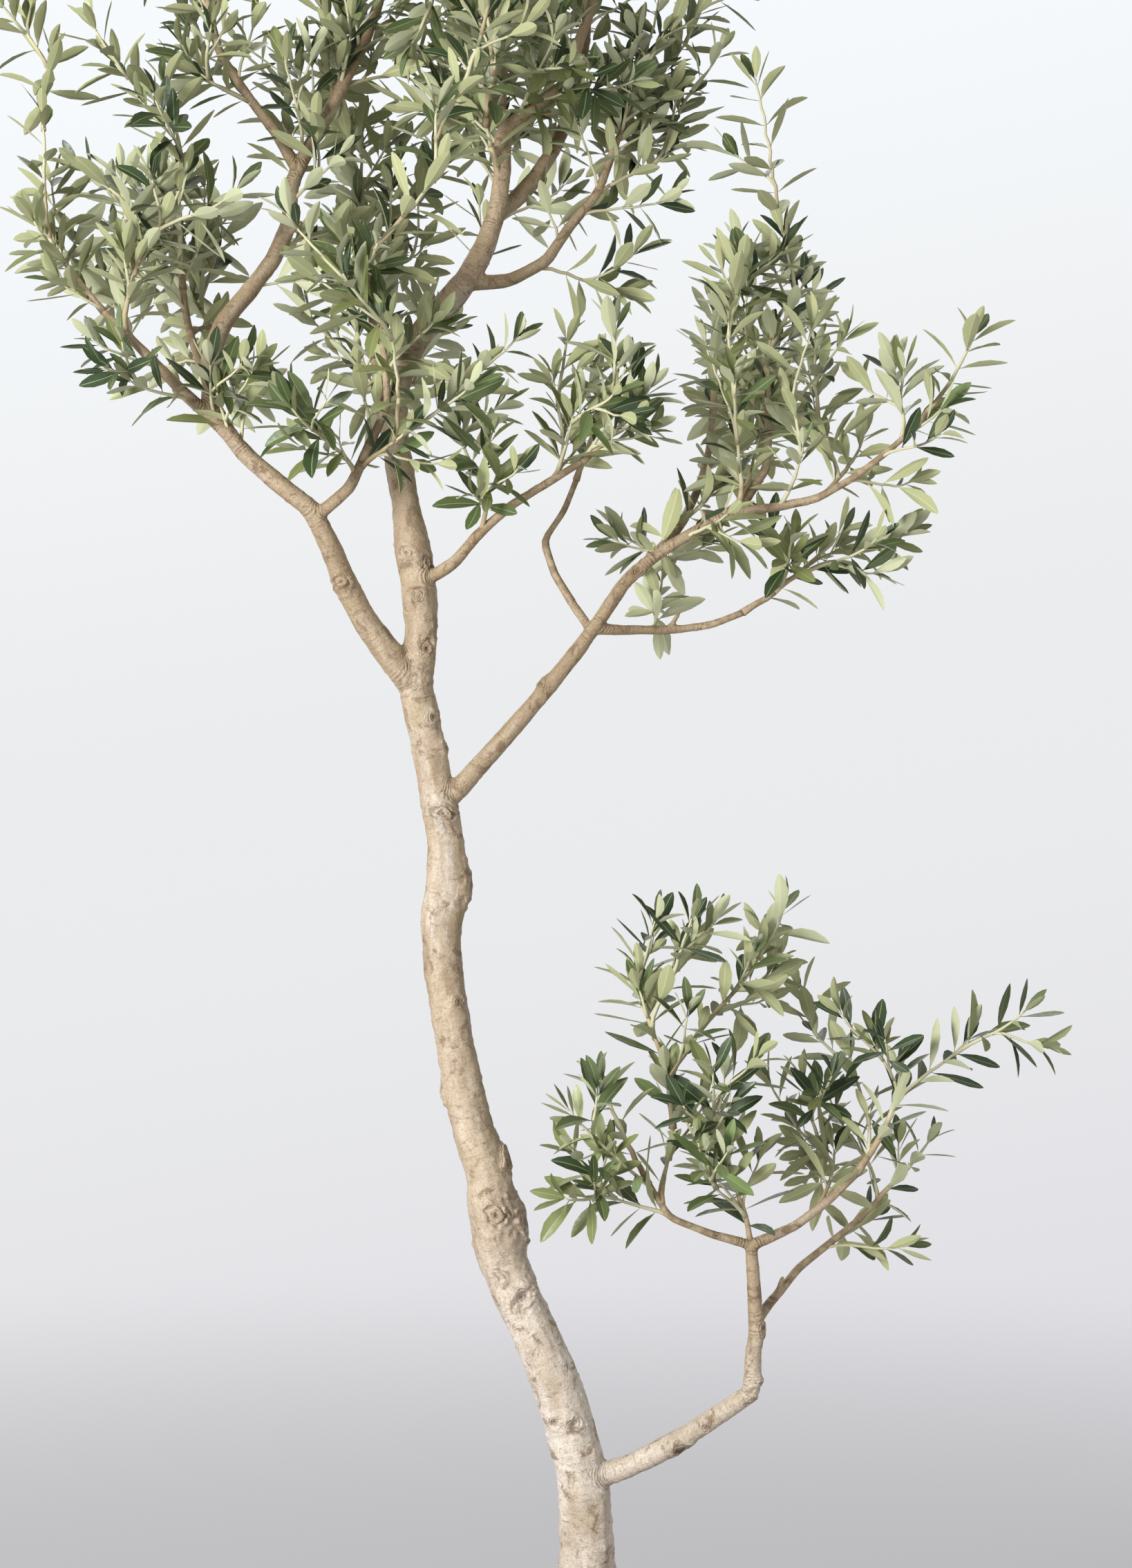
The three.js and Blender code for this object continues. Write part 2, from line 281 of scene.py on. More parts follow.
def barkMaterial():
    material, tree, shader = newMaterial("bark", barkColours["light"], 0.6, 0.5)
    place = attributeOf(tree, "barkSpace", "Vector")
    streaks = noiseAt(tree, stretched(tree, place, 0.30), 30, 6, 0.62)
    colour = blendColour(tree, spread(tree, streaks, 0.36, 0.62),
                         barkColours["taupe"], barkColours["light"])
    noises, shares = {}, {}
    for key, (stretch, scale, detail, rough, warp, low, high, most, shade) in barkPatches.items():
        at = place if stretch == 1 else stretched(tree, place, stretch)
        noises[key] = noiseAt(tree, at, scale, detail, rough, warp)
        least = 0.25 if key == "foot" else 0.0
        share = spread(tree, noises[key], low, high, least, most)
        if key == "foot":
            # the foot of the trunk is the palest: partly the older bark's bloom, partly painted light
            # where the lamps reach the foot less
            length = addNode(tree, "ShaderNodeSeparateXYZ", {"Vector": place}).outputs["Z"]
            share = times(tree, spread(tree, length, 0.30, 0.58, 1.0, 0.0), share)
        shares[key] = share
        colour = blendColour(tree, share, colour, barkColours[shade])
    # pale raised dots, each in a darker rim
    cells = addNode(tree, "ShaderNodeTexVoronoi", {
        "Vector": stretched(tree, place, 0.8), "Scale": 260.0, "Randomness": 1.0})
    uneven = added(tree, cells.outputs["Distance"], times(tree, noiseAt(tree, place, 900, 2), 0.16))
    tall = spread(tree, noiseAt(tree, place, 90, 2), 0.38, 0.60, 0.0, 0.85)
    dot = times(tree, spread(tree, uneven, 0.18, 0.34, 1.0, 0.0), tall)
    rim = times(tree, spread(tree, uneven, 0.32, 0.52, 0.45, 0.0), tall)
    colour = blendColour(tree, rim, colour, barkColours["brown"])
    colour = blendColour(tree, dot, colour, barkColours["lenticel"])
    thin = spread(tree, attributeOf(tree, "limbRadius"), 0.006, 0.019, 0.62, 0.0)
    colour = blendColour(tree, thin, colour, barkColours["thin"], "MULTIPLY")
    # wrinkles that run round each knot and along each joint; their troughs get painted shade
    sway = times(tree, noiseAt(tree, place, 85, 4), 9.0)
    broken = spread(tree, noiseAt(tree, place, 110, 2), 0.38, 0.56)
    folds = 0.5
    for name, turns, near, far, amount in (
            ("knotReach", 17.0, 0.5, 1.8, 0.32), ("jointLead", 2100.0, 0.002, 0.016, 0.34)):
        value = attributeOf(tree, name)
        wave = mathNode(tree, "SINE", added(tree, times(tree, value, turns), sway))
        mask = times(tree, spread(tree, value, near, far, amount, 0.0), broken)
        folds = added(tree, times(tree, wave, mask), folds)
    # painted shade: the low parts of the folds, the creases, are darkened brown
    colour = blendColour(tree, spread(tree, folds, 0.42, 0.12, 0.0, 0.75), colour, barkColours["brown"])
    # the knots' dark middles, partly painted shade in their pits and grooves
    colour = blendColour(tree, attributeOf(tree, "knotShade"), colour, barkColours["knot"])
    tree.links.new(colour, shader.inputs["Base Color"])
    height = added(tree, noises["rings"], times(tree, noiseAt(tree, place, 380, 6, 0.7), 0.45),
                   times(tree, dot, 0.3), times(tree, folds, 1.1))
    bumpFrom(tree, shader, height, 0.9, 0.0018)
    tree.links.new(spread(tree, shares["mottle"], 0.0, 0.75, 0.50, 0.80), shader.inputs["Roughness"])
    return material


def addGrain(tree, shader, place, grain, bump):
    height = noiseAt(tree, place, grain, 5, 0.65)
    bumpFrom(tree, shader, height, 0.6, bump)
    tree.links.new(spread(tree, height, 0.3, 0.7, 0.8, 0.55), shader.inputs["Roughness"])


def grainMaterial(name, colour, grain, bump):
    material, tree, shader = newMaterial(name, colour, 0.65, 0.35)
    addGrain(tree, shader, objectPlace(tree), grain, bump)
    return material


def stemMaterial():
    material, tree, shader = newMaterial("twigBark", stemColours["tan"], 0.65, 0.35)
    place = objectPlace(tree)
    age = attributeOf(tree, "age")
    colour = blendColour(tree, spread(tree, age, 0.0, 1.0), stemColours["green"], stemColours["tan"])
    mottled = blendColour(tree, spread(tree, noiseAt(tree, place, 90, 5, 0.7), 0.42, 0.62),
                          stemColours["old"], stemColours["pale"])
    colour = blendColour(tree, spread(tree, age, 1.0, 2.0), colour, mottled)
    tree.links.new(colour, shader.inputs["Base Color"])
    addGrain(tree, shader, place, 300, 0.0008)
    return material


stemColours = {"green": (0.54, 0.52, 0.34), "tan": (0.42, 0.335, 0.20),
               "old": (0.25, 0.180, 0.105), "pale": (0.40, 0.315, 0.205)}


def leafMaterial(name, colour, roughness, specular, sheen=0.0):
    material, tree, shader = newMaterial(name, colour, roughness, specular)
    shader.inputs["Sheen Weight"].default_value = sheen
    place = objectPlace(tree)
    height = noiseAt(tree, place, 240, 2, 0.5)
    bumpFrom(tree, shader, height, 0.12, 0.0003)
    tree.links.new(spread(tree, height, 0.25, 0.75, roughness - 0.08, roughness + 0.1),
                   shader.inputs["Roughness"])
    return material


# camera, light and floor

view = {"distance": 3.1, "middle": (-0.0195, 1.2905), "height": 1.701, "sensor": 36}
lights = {
    "key": {"at": (-2.6, -3.1, 1.9), "size": 1.6, "power": 102, "spread": 120},
    "fill": {"at": (2.8, -2.6, 1.6), "size": 3.0, "power": 26, "spread": 180},
    "back": {"at": (-0.6, 3.2, 3.6), "size": 2.6, "power": 45, "spread": 180},
}
studio = {
    "light": (0.94, 0.94, 0.93), "strength": 0.50,
    "high": (0.93, 0.96, 0.98), "level": (0.83, 0.835, 0.85), "low": (0.73, 0.725, 0.765),
    "tilt": (-0.18, 0.0, 1.0), "reach": 0.30,
}


def addCamera():
    data = bpy.data.cameras.new("camera")
    data.sensor_width = view["sensor"]
    data.lens = view["sensor"] * view["distance"] / view["height"]
    data.clip_end = 100
    camera = addObject("camera", data)
    camera.location = (view["middle"][0], -view["distance"], view["middle"][1])
    camera.rotation_euler = (math.pi / 2, 0, 0)
    scene.camera = camera


def addLights():
    world = bpy.data.worlds.new("studio")
    world.use_nodes = True
    tree = world.node_tree
    sky = tree.nodes["Background"]
    sky.inputs["Color"].default_value = (*studio["light"], 1)
    sky.inputs["Strength"].default_value = studio["strength"]
    # what stands behind the tree is a soft pale sweep, from bright above to greyer below
    way = addNode(tree, "ShaderNodeTexCoord").outputs["Generated"]
    rise = addNode(tree, "ShaderNodeVectorMath", {0: way, 1: studio["tilt"]},
                   operation="DOT_PRODUCT").outputs["Value"]
    lower = spread(tree, rise, -studio["reach"], 0.0)
    upper = spread(tree, rise, 0.0, studio["reach"])
    colour = blendColour(tree, lower, studio["low"], studio["level"])
    colour = blendColour(tree, upper, colour, studio["high"])
    sweep = addNode(tree, "ShaderNodeBackground", {"Color": colour, "Strength": 1.0})
    seen = addNode(tree, "ShaderNodeLightPath").outputs["Is Camera Ray"]
    mix = addNode(tree, "ShaderNodeMixShader", {0: seen, 1: sky.outputs[0], 2: sweep.outputs[0]})
    tree.links.new(mix.outputs[0], tree.nodes["World Output"].inputs["Surface"])
    scene.world = world
    aim = Vector((0, 0, 1.2))
    for name, light in lights.items():
        data = bpy.data.lights.new(name, "AREA")
        data.size = light["size"]
        data.energy = light["power"]
        data.spread = math.radians(light["spread"])
        lamp = addObject(name, data)
        lamp.location = light["at"]
        lamp.rotation_euler = (aim - Vector(light["at"])).to_track_quat("-Z", "Y").to_euler()


floorShape = {"radius": 6, "colour": (0.55, 0.55, 0.565), "fade": (1.0, 4.6)}


def addFloor():
    bm = bmesh.new()
    bmesh.ops.create_circle(bm, cap_ends=True, segments=96, radius=floorShape["radius"])
    mesh = finishedMesh("floor", bm)
    material, tree, shader = newMaterial("paleFloor", floorShape["colour"], 0.9, 0.2)
    place = objectPlace(tree)
    away = addNode(tree, "ShaderNodeVectorMath", {0: place}, operation="LENGTH").outputs["Value"]
    whole = spread(tree, away, *floorShape["fade"], 1.0, 0.0)
    tree.links.new(whole, shader.inputs["Alpha"])
    mesh.materials.append(material)
    addObject("floor", mesh)


scene.view_settings.view_transform = "Standard"
addCamera()
addLights()
addFloor()
print("camera, light and floor set")


# limb lines, measured on the CAD solids

limbParents = {
    "trunk": None, "leader": "trunk",
    "bough_left": "trunk", "bough_left_inner": "bough_left", "bough_left_high": "bough_left",
    "bough_left_fork": "bough_left_high", "bough_top": "leader", "bough_top_fork": "bough_top",
    "bough_top_back": "bough_top", "bough_right_high": "leader", "bough_small_right": "leader",
    "bough_right": "trunk", "bough_right_riser": "bough_right",
    "bough_right_lower": "bough_right", "bough_right_thin": "bough_right",
    "bough_right_back": "bough_right", "bough_low": "trunk", "bough_low_riser": "bough_low",
    "bough_low_left": "bough_low_riser", "bough_low_right": "bough_low_riser",
    "bough_low_side": "bough_low_riser", "bough_back": "leader",
    "bough_back_left": "bough_left", "bough_back_right": "leader",
}
tracing = {
    "step": 0.006, "firstStep": 0.002, "tipReach": 0.085, "facetGrow": 1.03, "sample": 0.004,
    "firstReach": 0.06, "leastReach": 0.016, "reachShare": 2.2, "overlap": 0.9, "lookAhead": 0.05,
}


def sliceAt(points, edges, origin, heading, reach):
    side = (points - origin) @ heading
    first, second = side[edges[:, 0]], side[edges[:, 1]]
    cut = first * second < 0
    share = (first[cut] / (first[cut] - second[cut]))[:, None]
    hits = points[edges[cut, 0]] * (1 - share) + points[edges[cut, 1]] * share
    hits = hits[np.linalg.norm(hits - origin, axis=1) < reach]
    if len(hits) < 5:
        return None
    centre = hits.mean(0)
    return centre, np.linalg.norm(hits - centre, axis=1).mean()


def traceLimb(node, parent):
    bm = readSolid(node)
    points = pointsOf(bm)
    edges = np.array([[v.index for v in e.verts] for e in bm.edges])
    bm.free()
    stem = parent["points"] if parent else np.array([[0.0, 0.0, 0.2]])
    away = np.linalg.norm(points[:, None] - stem[None], axis=2).min(1)
    far = points[away.argmax()]
    tip = points[np.linalg.norm(points - far, axis=1) < tracing["tipReach"]]
    axis = np.linalg.svd(tip - tip.mean(0))[2][0]
    heading = -axis if axis @ (far - tip.mean(0)) > 0 else axis
    found = sliceAt(points, edges, far + heading * tracing["firstStep"], heading,
                    tracing["firstReach"])
    line = []
    while found:
        centre, radius = found
        if line and parent:
            reach = np.linalg.norm(stem - centre, axis=1)
            near = reach.argmin()
            if reach[near] < parent["radii"][near] + radius * tracing["overlap"]:
                break
        line.append((centre, radius))
        if len(line) > 1:
            heading = unit(0.5 * heading + 0.5 * unit(centre - line[-2][0]))
        found = sliceAt(points, edges, centre + heading * tracing["step"], heading,
                        max(tracing["leastReach"], radius * tracing["reachShare"]))
    if parent:
        end, radius = line[-1]
        ahead = end + heading * np.linspace(0, tracing["lookAhead"], 26)[:, None]
        gaps = np.linalg.norm(ahead[:, None] - stem[None], axis=2)
        joint = stem[np.unravel_index(gaps.argmin(), gaps.shape)[1]]
        steps = max(1, int(np.linalg.norm(joint - end) / tracing["step"]))
        line += [(end + (joint - end) * (i + 1) / steps, radius) for i in range(steps)]
    line.reverse()
    return evenLine(np.array([c for c, r in line]), np.array([r for c, r in line]), parent)


def evenLine(points, radii, parent):
    # even steps, with the facets' ripple smoothed out
    along = lengthsAlong(points)
    count = max(4, int(along[-1] / tracing["sample"]) + 1)
    places = np.linspace(0, along[-1], count)
    points = pointAlong(places, along, points)
    radii = np.interp(places, along, radii) * tracing["facetGrow"]
    for _ in range(3):
        points[1:-1] = (points[:-2] + points[1:-1] * 2 + points[2:]) / 4
    for _ in range(8):
        radii[1:-1] = (radii[:-2] + radii[1:-1] * 2 + radii[2:]) / 4
    headings = headingsAlong(points)
    side, start = np.array((1.0, 0.0, 0.0)), 0.0
    if parent:
        # a limb's sides and its length are counted on from its parent's
        joint = np.linalg.norm(parent["points"] - points[0], axis=1).argmin()
        side, start = parent["sides"][joint], parent["start"] + parent["along"][joint]
    sides = []
    for heading in headings:
        side = unit(side - heading * (side @ heading))
        sides.append(side)
    return {"points": points, "radii": radii, "along": places, "start": start,
            "headings": headings, "sides": np.array(sides)}


limbs = {}
for name, parent in limbParents.items():
    limbs[name] = traceLimb(name, limbs.get(parent))
    line = limbs[name]
    print("limb", name, "length %.3f, radii %.4f to %.4f" % (
        line["along"][-1], line["radii"][0], line["radii"][-1]))


# tubes along lines: one bevelled curve, made a mesh

def tubeMesh(name, lines, roundness):
    curve = bpy.data.curves.new(name, "CURVE")
    curve.dimensions = "3D"
    curve.bevel_depth = 1.0
    curve.bevel_resolution = roundness
    curve.use_fill_caps = True
    for points, radii in lines:
        spline = curve.splines.new("POLY")
        spline.points.add(len(points) - 1)
        spline.points.foreach_set("co", np.c_[points, np.ones(len(points))].ravel())
        spline.points.foreach_set("radius", np.asarray(radii, dtype=float))
    mesh = bakedMesh(name, addObject(name, curve))
    bpy.data.curves.remove(curve)
    bm = bmesh.new()
    bm.from_mesh(mesh)
    bmesh.ops.remove_doubles(bm, verts=bm.verts, dist=1e-6)
    bmesh.ops.recalc_face_normals(bm, faces=bm.faces)
    for face in bm.faces:
        face.smooth = True
    bm.to_mesh(mesh)
    bm.free()
    return mesh


# trunk and boughs: fused tubes with the bark's relief

barkShape = {
    "thinnest": 0.0046, "voxel": 0.0021, "smoothing": 4, "footDepth": 0.008,
    "rootLobes": 5, "rootRise": 0.006, "rootReach": 0.05,
    "flute": 0.0014, "ring": 0.0006, "lump": 0.0010, "wart": 0.0035, "node": 0.075,
    "blend": 0.012, "knotWarp": 0.42, "mostTriangles": 185000,
    "fluteRates": (60, 60, 9), "ringRates": (30, 30, 210), "wartRate": 130, "wartFrom": 0.38,
    "lumpRate": 95, "nodeRate": 27, "warpRate": 165, "fullSize": 0.025, "leastSize": 0.3,
}
# each knot: limb, share of its length, the way it faces, half width, half height, kind
knots = [
    ("trunk", 0.457, (0.1, -1, 0), 0.0125, 0.0135, "eye"),
    ("trunk", 0.445, (1, -0.25, 0), 0.0150, 0.0170, "boss"),
    ("trunk", 0.505, (1, -0.2, 0), 0.0110, 0.0130, "boss"),
    ("trunk", 0.368, (0.35, -1, 0), 0.0170, 0.0100, "slit"),
    ("trunk", 0.232, (0.2, -1, 0), 0.0100, 0.0080, "slit"),
    ("trunk", 0.240, (-0.6, -1, 0), 0.0090, 0.0070, "slit"),
    ("trunk", 0.300, (-0.4, 1, 0), 0.0120, 0.0130, "eye"),
    ("trunk", 0.585, (-0.9, 0.5, 0), 0.0120, 0.0120, "boss"),
    ("trunk", 0.672, (0.7, -1, 0), 0.0085, 0.0090, "boss"),
    ("trunk", 0.735, (0.3, 1, 0), 0.0110, 0.0120, "eye"),
    ("trunk", 0.791, (1, -0.15, 0), 0.0130, 0.0140, "boss"),
    ("trunk", 0.861, (0.2, -1, 0), 0.0125, 0.0100, "eye"),
    ("trunk", 0.925, (1, -0.4, 0), 0.0070, 0.0070, "boss"),
    ("trunk", 0.958, (0.8, -1, 0), 0.0085, 0.0090, "boss"),
    ("leader", 0.085, (0.5, -1, 0), 0.0095, 0.0085, "eye"),
    ("leader", 0.205, (0.0, -1, 0), 0.0070, 0.0100, "eye"),
    ("leader", 0.280, (0.9, -1, 0), 0.0075, 0.0110, "eye"),
    ("leader", 0.310, (-0.4, -1, 0), 0.0090, 0.0085, "eye"),
    ("leader", 0.470, (-0.1, -1, 0), 0.0085, 0.0060, "slit"),
    ("leader", 0.400, (0.0, 1, 0), 0.0090, 0.0090, "eye"),
    ("bough_left", 0.270, (-0.2, -1, 0), 0.0095, 0.0090, "eye"),
    ("bough_left", 0.640, (0.5, -1, 0.6), 0.0060, 0.0080, "boss"),
    ("bough_right", 0.255, (-0.5, -0.6, 0.6), 0.0070, 0.0070, "boss"),
    ("bough_right", 0.490, (0.2, -1, 0.2), 0.0075, 0.0090, "slit"),
    ("bough_right", 0.530, (-0.3, -0.6, 1), 0.0065, 0.0070, "boss"),
    ("bough_low", 0.530, (0.1, -0.7, -1), 0.0090, 0.0120, "scar"),
    ("bough_low", 0.700, (0.2, -1, -0.1), 0.0065, 0.0070, "slit"),
    ("bough_low_riser", 0.060, (1, -0.3, 0), 0.0075, 0.0090, "boss"),
    ("bough_low_riser", 0.450, (0.9, -0.7, 0), 0.0075, 0.0090, "boss"),
]


# dead stubs: limb, share of its length, the way it points, length, radius
stubs = [
    ("bough_left", 0.66, (-0.5, -0.5, 0.7), 0.016, 0.0036),
    ("bough_left", 0.86, (0.3, -0.6, -0.5), 0.010, 0.0040),
    ("bough_right_lower", 0.52, (0.1, -0.3, 1), 0.018, 0.0028),
    ("bough_low_side", 0.28, (0.1, -0.2, 1), 0.016, 0.0029),
    ("bough_left_high", 0.42, (1, -0.5, 0.5), 0.022, 0.0034),
    ("bough_top", 0.33, (-0.8, -0.7, 0.5), 0.014, 0.0036),
    ("bough_right", 0.62, (-0.4, 0.6, 0.8), 0.015, 0.0030),
    ("leader", 0.62, (-0.6, 0.8, 0.4), 0.013, 0.0045),
]


def knotRelief(kind, reach):
    # height in half widths, and how dark, at a distance from the knot's middle in half sizes; the
    # darkness is partly the knot's own dark middle, partly painted shade in its pits and grooves
    def ring(at, width):
        return np.exp(-((reach - at) / width) ** 2)
    if kind == "boss":
        rise = 0.55 * ring(0, 1.05) - 0.38 * ring(0, 0.34) + 0.10 * ring(0.85, 0.16)
        return rise, np.maximum(0.85 * ring(0, 0.34), 0.35 * ring(0.66, 0.1))
    if kind == "scar":
        rise = 0.55 * np.exp(-(reach / 1.1) ** 4) - 0.45 * np.exp(-(reach / 0.75) ** 4)
        return rise, 0.95 * np.exp(-(reach / 0.85) ** 4)
    if kind == "slit":
        rise = 0.18 * ring(1.0, 0.3) - 0.30 * ring(0, 0.38) + 0.08 * ring(1.7, 0.22)
        return rise, np.maximum(0.75 * ring(0, 0.3), 0.3 * ring(0.62, 0.12))
    rise = (0.26 * ring(0, 1.5) + 0.20 * ring(1.05, 0.17) - 0.22 * ring(0.74, 0.13)
            + 0.16 * ring(0.46, 0.14) - 0.34 * ring(0, 0.22) + 0.08 * ring(1.5, 0.14))
    return rise, np.maximum(0.42 * ring(0.76, 0.12), 0.85 * ring(0, 0.2))


def limbPlaces(points):
    # for each point: its nearest limb, place along it, angle round it, the limb's radius there,
    # the bark's coordinates, and how much farther off the next limb is
    names = list(limbs)
    ends = np.cumsum([len(limbs[n]["points"]) for n in names])
    starts = np.r_[0, ends[:-1]]

    def every(key):
        return np.concatenate([limbs[n][key] for n in names])
    centres, radii, along = every("points"), every("radii"), every("along")
    headings, sides = every("headings"), every("sides")
    begun = np.concatenate([np.full(len(limbs[n]["points"]), limbs[n]["start"]) for n in names])
    owners = np.concatenate([np.full(len(limbs[n]["points"]), i) for i, n in enumerate(names)])
    nearest = np.zeros((len(points), 2), dtype=int)
    gaps = np.zeros((len(points), 2))
    for first in range(0, len(points), 4000):
        part = points[first:first + 4000]
        squares = (part ** 2).sum(1)[:, None] + (centres ** 2).sum(1) - 2 * part @ centres.T
        away = np.sqrt(np.maximum(squares, 0)) - radii
        perLimb = np.minimum.reduceat(away, starts, axis=1)
        order = np.argpartition(perLimb, 1, axis=1)[:, :2]
        order = np.take_along_axis(order, np.take_along_axis(perLimb, order, 1).argsort(1), 1)
        gaps[first:first + 4000] = np.take_along_axis(perLimb, order, 1)
        for k in range(2):
            off = (owners[None] != order[:, k:k + 1]) * 1e3
            nearest[first:first + 4000, k] = (away + off).argmin(1)
    spaces = []
    for k in range(2):
        at = nearest[:, k]
        offset = points - centres[at]
        x = (offset * sides[at]).sum(1)
        y = (offset * np.cross(headings[at], sides[at])).sum(1)
        length = along[at] + (offset * headings[at]).sum(1)
        spaces.append((x, y, length + begun[at]))
        if k == 0:
            place, angle = length, np.arctan2(y, x)
    lead = gaps[:, 1] - gaps[:, 0]
    share = 0.5 * np.clip(1 - lead / barkShape["blend"], 0, 1) ** 2
    space = [a * (1 - share) + b * share for a, b in zip(*spaces)]
    best = nearest[:, 0]
    return owners[best], place, angle, radii[best], np.stack(space, 1), lead


def barkMesh():
    lines = []
    for name, line in limbs.items():
        stout = np.nonzero(line["radii"] > barkShape["thinnest"])[0]
        last = min(len(line["radii"]), stout[-1] + 2) if len(stout) else 0
        line["split"] = last
        if last < 4:
            continue
        points, radii = line["points"][:last:2], line["radii"][:last:2]
        if name == "trunk":
            foot = points[0] - up * barkShape["footDepth"]
            points, radii = np.vstack([foot, points]), np.r_[radii[0] * 1.05, radii]
        lines.append((points, radii))
    for limb, share, facing, length, radius in stubs:
        line = limbs[limb]
        at = int(share * (len(line["points"]) - 1))
        way = unit(unit(np.array(facing, dtype=float)) + line["headings"][at] * 0.5)
        reach = np.linspace(0, line["radii"][at] + length, 7)
        swell = np.interp(reach, (0, line["radii"][at] * 1.2, reach[-1] * 0.9, reach[-1]),
                          (1.7, 1.1, 1.0, 0.8))
        lines.append((line["points"][at] + way * reach[:, None], radius * swell))
    mesh = tubeMesh("trunkAndBoughs", lines, 6)
    holder = addObject("limbCore", mesh)
    remesh = holder.modifiers.new("fuse", "REMESH")
    remesh.mode = "VOXEL"
    remesh.voxel_size = barkShape["voxel"]
    soften = holder.modifiers.new("soften", "SMOOTH")
    soften.iterations = barkShape["smoothing"]
    return bakedMesh("trunkAndBoughs", holder)


def thinnedTo(mesh, most):
    # fewer faces where the wood is smooth
    holder = addObject("thinning", mesh)
    thin = holder.modifiers.new("thin", "DECIMATE")
    thin.ratio = min(1.0, most / (2 * len(mesh.polygons)))
    return bakedMesh(mesh.name, holder)


def addRelief(mesh):
    count = len(mesh.vertices)
    points, normals = valuesOf(mesh, "co"), valuesOf(mesh, "normal")
    owner, along, angle, radius, space, lead = limbPlaces(points)
    names = list(limbs)
    wrinkle = np.full(count, 9.0)
    rise = np.zeros(count)
    shade = np.zeros(count)
    size = np.clip(radius / barkShape["fullSize"], barkShape["leastSize"], 1.0)
    wartShift = Vector((3, 5, 7))
    for i in range(count):
        place = Vector(space[i])
        long = place * Vector(barkShape["fluteRates"])
        ring = place * Vector(barkShape["ringRates"])
        wart = noise.noise(place * barkShape["wartRate"] + wartShift) - barkShape["wartFrom"]
        wart = max(0.0, wart)
        rise[i] = (noise.noise(long) * barkShape["flute"]
                   + noise.noise(ring) * barkShape["ring"]
                   + noise.noise(place * barkShape["lumpRate"]) * barkShape["lump"]
                   + wart * barkShape["wart"]) * size[i]
        swell = noise.noise(Vector((owner[i] * 5, 0, place.z * barkShape["nodeRate"])))
        rise[i] += swell * radius[i] * barkShape["node"]
    foot = owner == names.index("trunk")
    lobes = np.cos(barkShape["rootLobes"] * angle + 1.1 * np.sin(2 * angle))
    rise += foot * barkShape["rootRise"] * lobes * np.exp(-np.clip(along, 0, 9) / barkShape["rootReach"])
    for limb, share, facing, halfWidth, halfHeight, kind in knots:
        line = limbs[limb]
        middle = share * line["along"][-1]
        at = int(np.argmin(abs(line["along"] - middle)))
        heading, side = line["headings"][at], line["sides"][at]
        facing = np.array(facing, dtype=float)
        across = np.cross(heading, side)
        turn = math.atan2(facing @ across, facing @ side)
        around = np.angle(np.exp(1j * (angle - turn))) * radius
        reach = np.hypot(around / halfWidth, (along - middle) / halfHeight)
        bend = np.arctan2((along - middle) / halfHeight, around / halfWidth)
        reach *= 1 + 0.16 * np.sin(bend + middle * 90) + 0.10 * np.sin(bend * 2 + middle * 40)
        near = np.nonzero((owner == names.index(limb)) & (reach < 3))[0]
        warp = np.array([noise.noise(Vector(space[i]) * barkShape["warpRate"]) for i in near])
        reach[near] *= 1 + barkShape["knotWarp"] * warp
        height, dark = knotRelief(kind, reach[near])
        rise[near] += height * halfWidth
        patchy = 0.55 + 0.45 * np.sin(bend[near] * 3 + middle * 70)
        shade[near] = np.maximum(shade[near], dark * np.where(reach[near] > 0.4, patchy, 1.0))
        wrinkle[near] = np.minimum(wrinkle[near], reach[near])
    points += normals * rise[:, None]
    mesh.vertices.foreach_set("co", points.ravel())
    mesh.attributes.new("barkSpace", "FLOAT_VECTOR", "POINT").data.foreach_set("vector", space.ravel())
    for name, values in (("knotShade", shade), ("knotReach", wrinkle), ("limbRadius", radius),
                         ("jointLead", lead)):
        addValues(mesh, name, values)
    mesh.polygons.foreach_set("use_smooth", np.ones(len(mesh.polygons), dtype=bool))
    mesh.update()


wood = barkMesh()
addRelief(wood)
wood = thinnedTo(wood, barkShape["mostTriangles"])
wood.materials.append(barkMaterial())
linkPiece("trunkAndBoughs", wood, "bark", *limbNodes)
print("trunk and boughs:", len(wood.polygons), "faces")


# shoots: each reaches from the wood that is there to a tip inside a mass

thinMasses = {
    "mass_right_tall_top": 0.3, "mass_low_right_tip": 0.45, "mass_right_low_tip": 0.8,
    "mass_right_tip": 0.6, "mass_low_right_low": 0.55, "mass_low_left": 0.85, "mass_left_outer": 0.55,
    "mass_left_low": 0.55, "mass_left_tip": 0.65, "mass_center_front": 0.75, "mass_right_low": 0.95,
    "mass_low_middle": 1.55, "mass_low_center": 1.5, "mass_low_right": 1.1, "mass_right_tall": 0.85,
    "mass_right_mid": 1.3, "mass_right_mid_small": 1.2, "mass_upper_right_a": 1.2,
    "mass_upper_right_b": 1.4, "mass_left_inner": 0.6, "mass_low_right_high": 0.9,
}
growsFrom = {"mass_right_tall_top": "mass_right_tall"}
growth = {
    "seed": 11, "room": 0.00037, "fewest": 4, "tipDepth": 0.028, "endDepth": 0.012,
    "turnCost": 0.10, "downCost": 0.07, "shortest": 0.045, "shortCost": 0.06, "lift": 0.35,
    "nodeStep": 0.016, "pointStep": 0.010, "spur": (0.035, 0.075), "spurOdds": 0.28,
    "strangeCost": 0.5, "tipSway": 0.15, "leaveSway": 0.08, "tries": 6000, "triesPerTip": 24,
    "limbTip": (0.09, 0.14), "leaveWay": 0.8, "leaveHeading": 0.5, "bend": 0.35,
    "wobble": 0.012, "mostWobble": 0.0022, "wobbleSide": 0.6,
    "spurPlaces": (0.34, 0.52, 0.68), "spurRoom": 0.03, "spurOut": 1.1, "spurLift": 0.2,
}
bareUpTo = {"trunk": 2.0, "leader": 0.72, "bough_left": 0.5, "bough_right": 0.42, "bough_low": 2.0,
            "bough_low_riser": 0.8, "bough_right_lower": 0.35, "bough_left_high": 0.2,
            "bough_small_right": 0.4}
rng = random.Random(growth["seed"])


def randomUnit():
    v = np.array([rng.gauss(0, 1) for _ in range(3)])
    return unit(v)


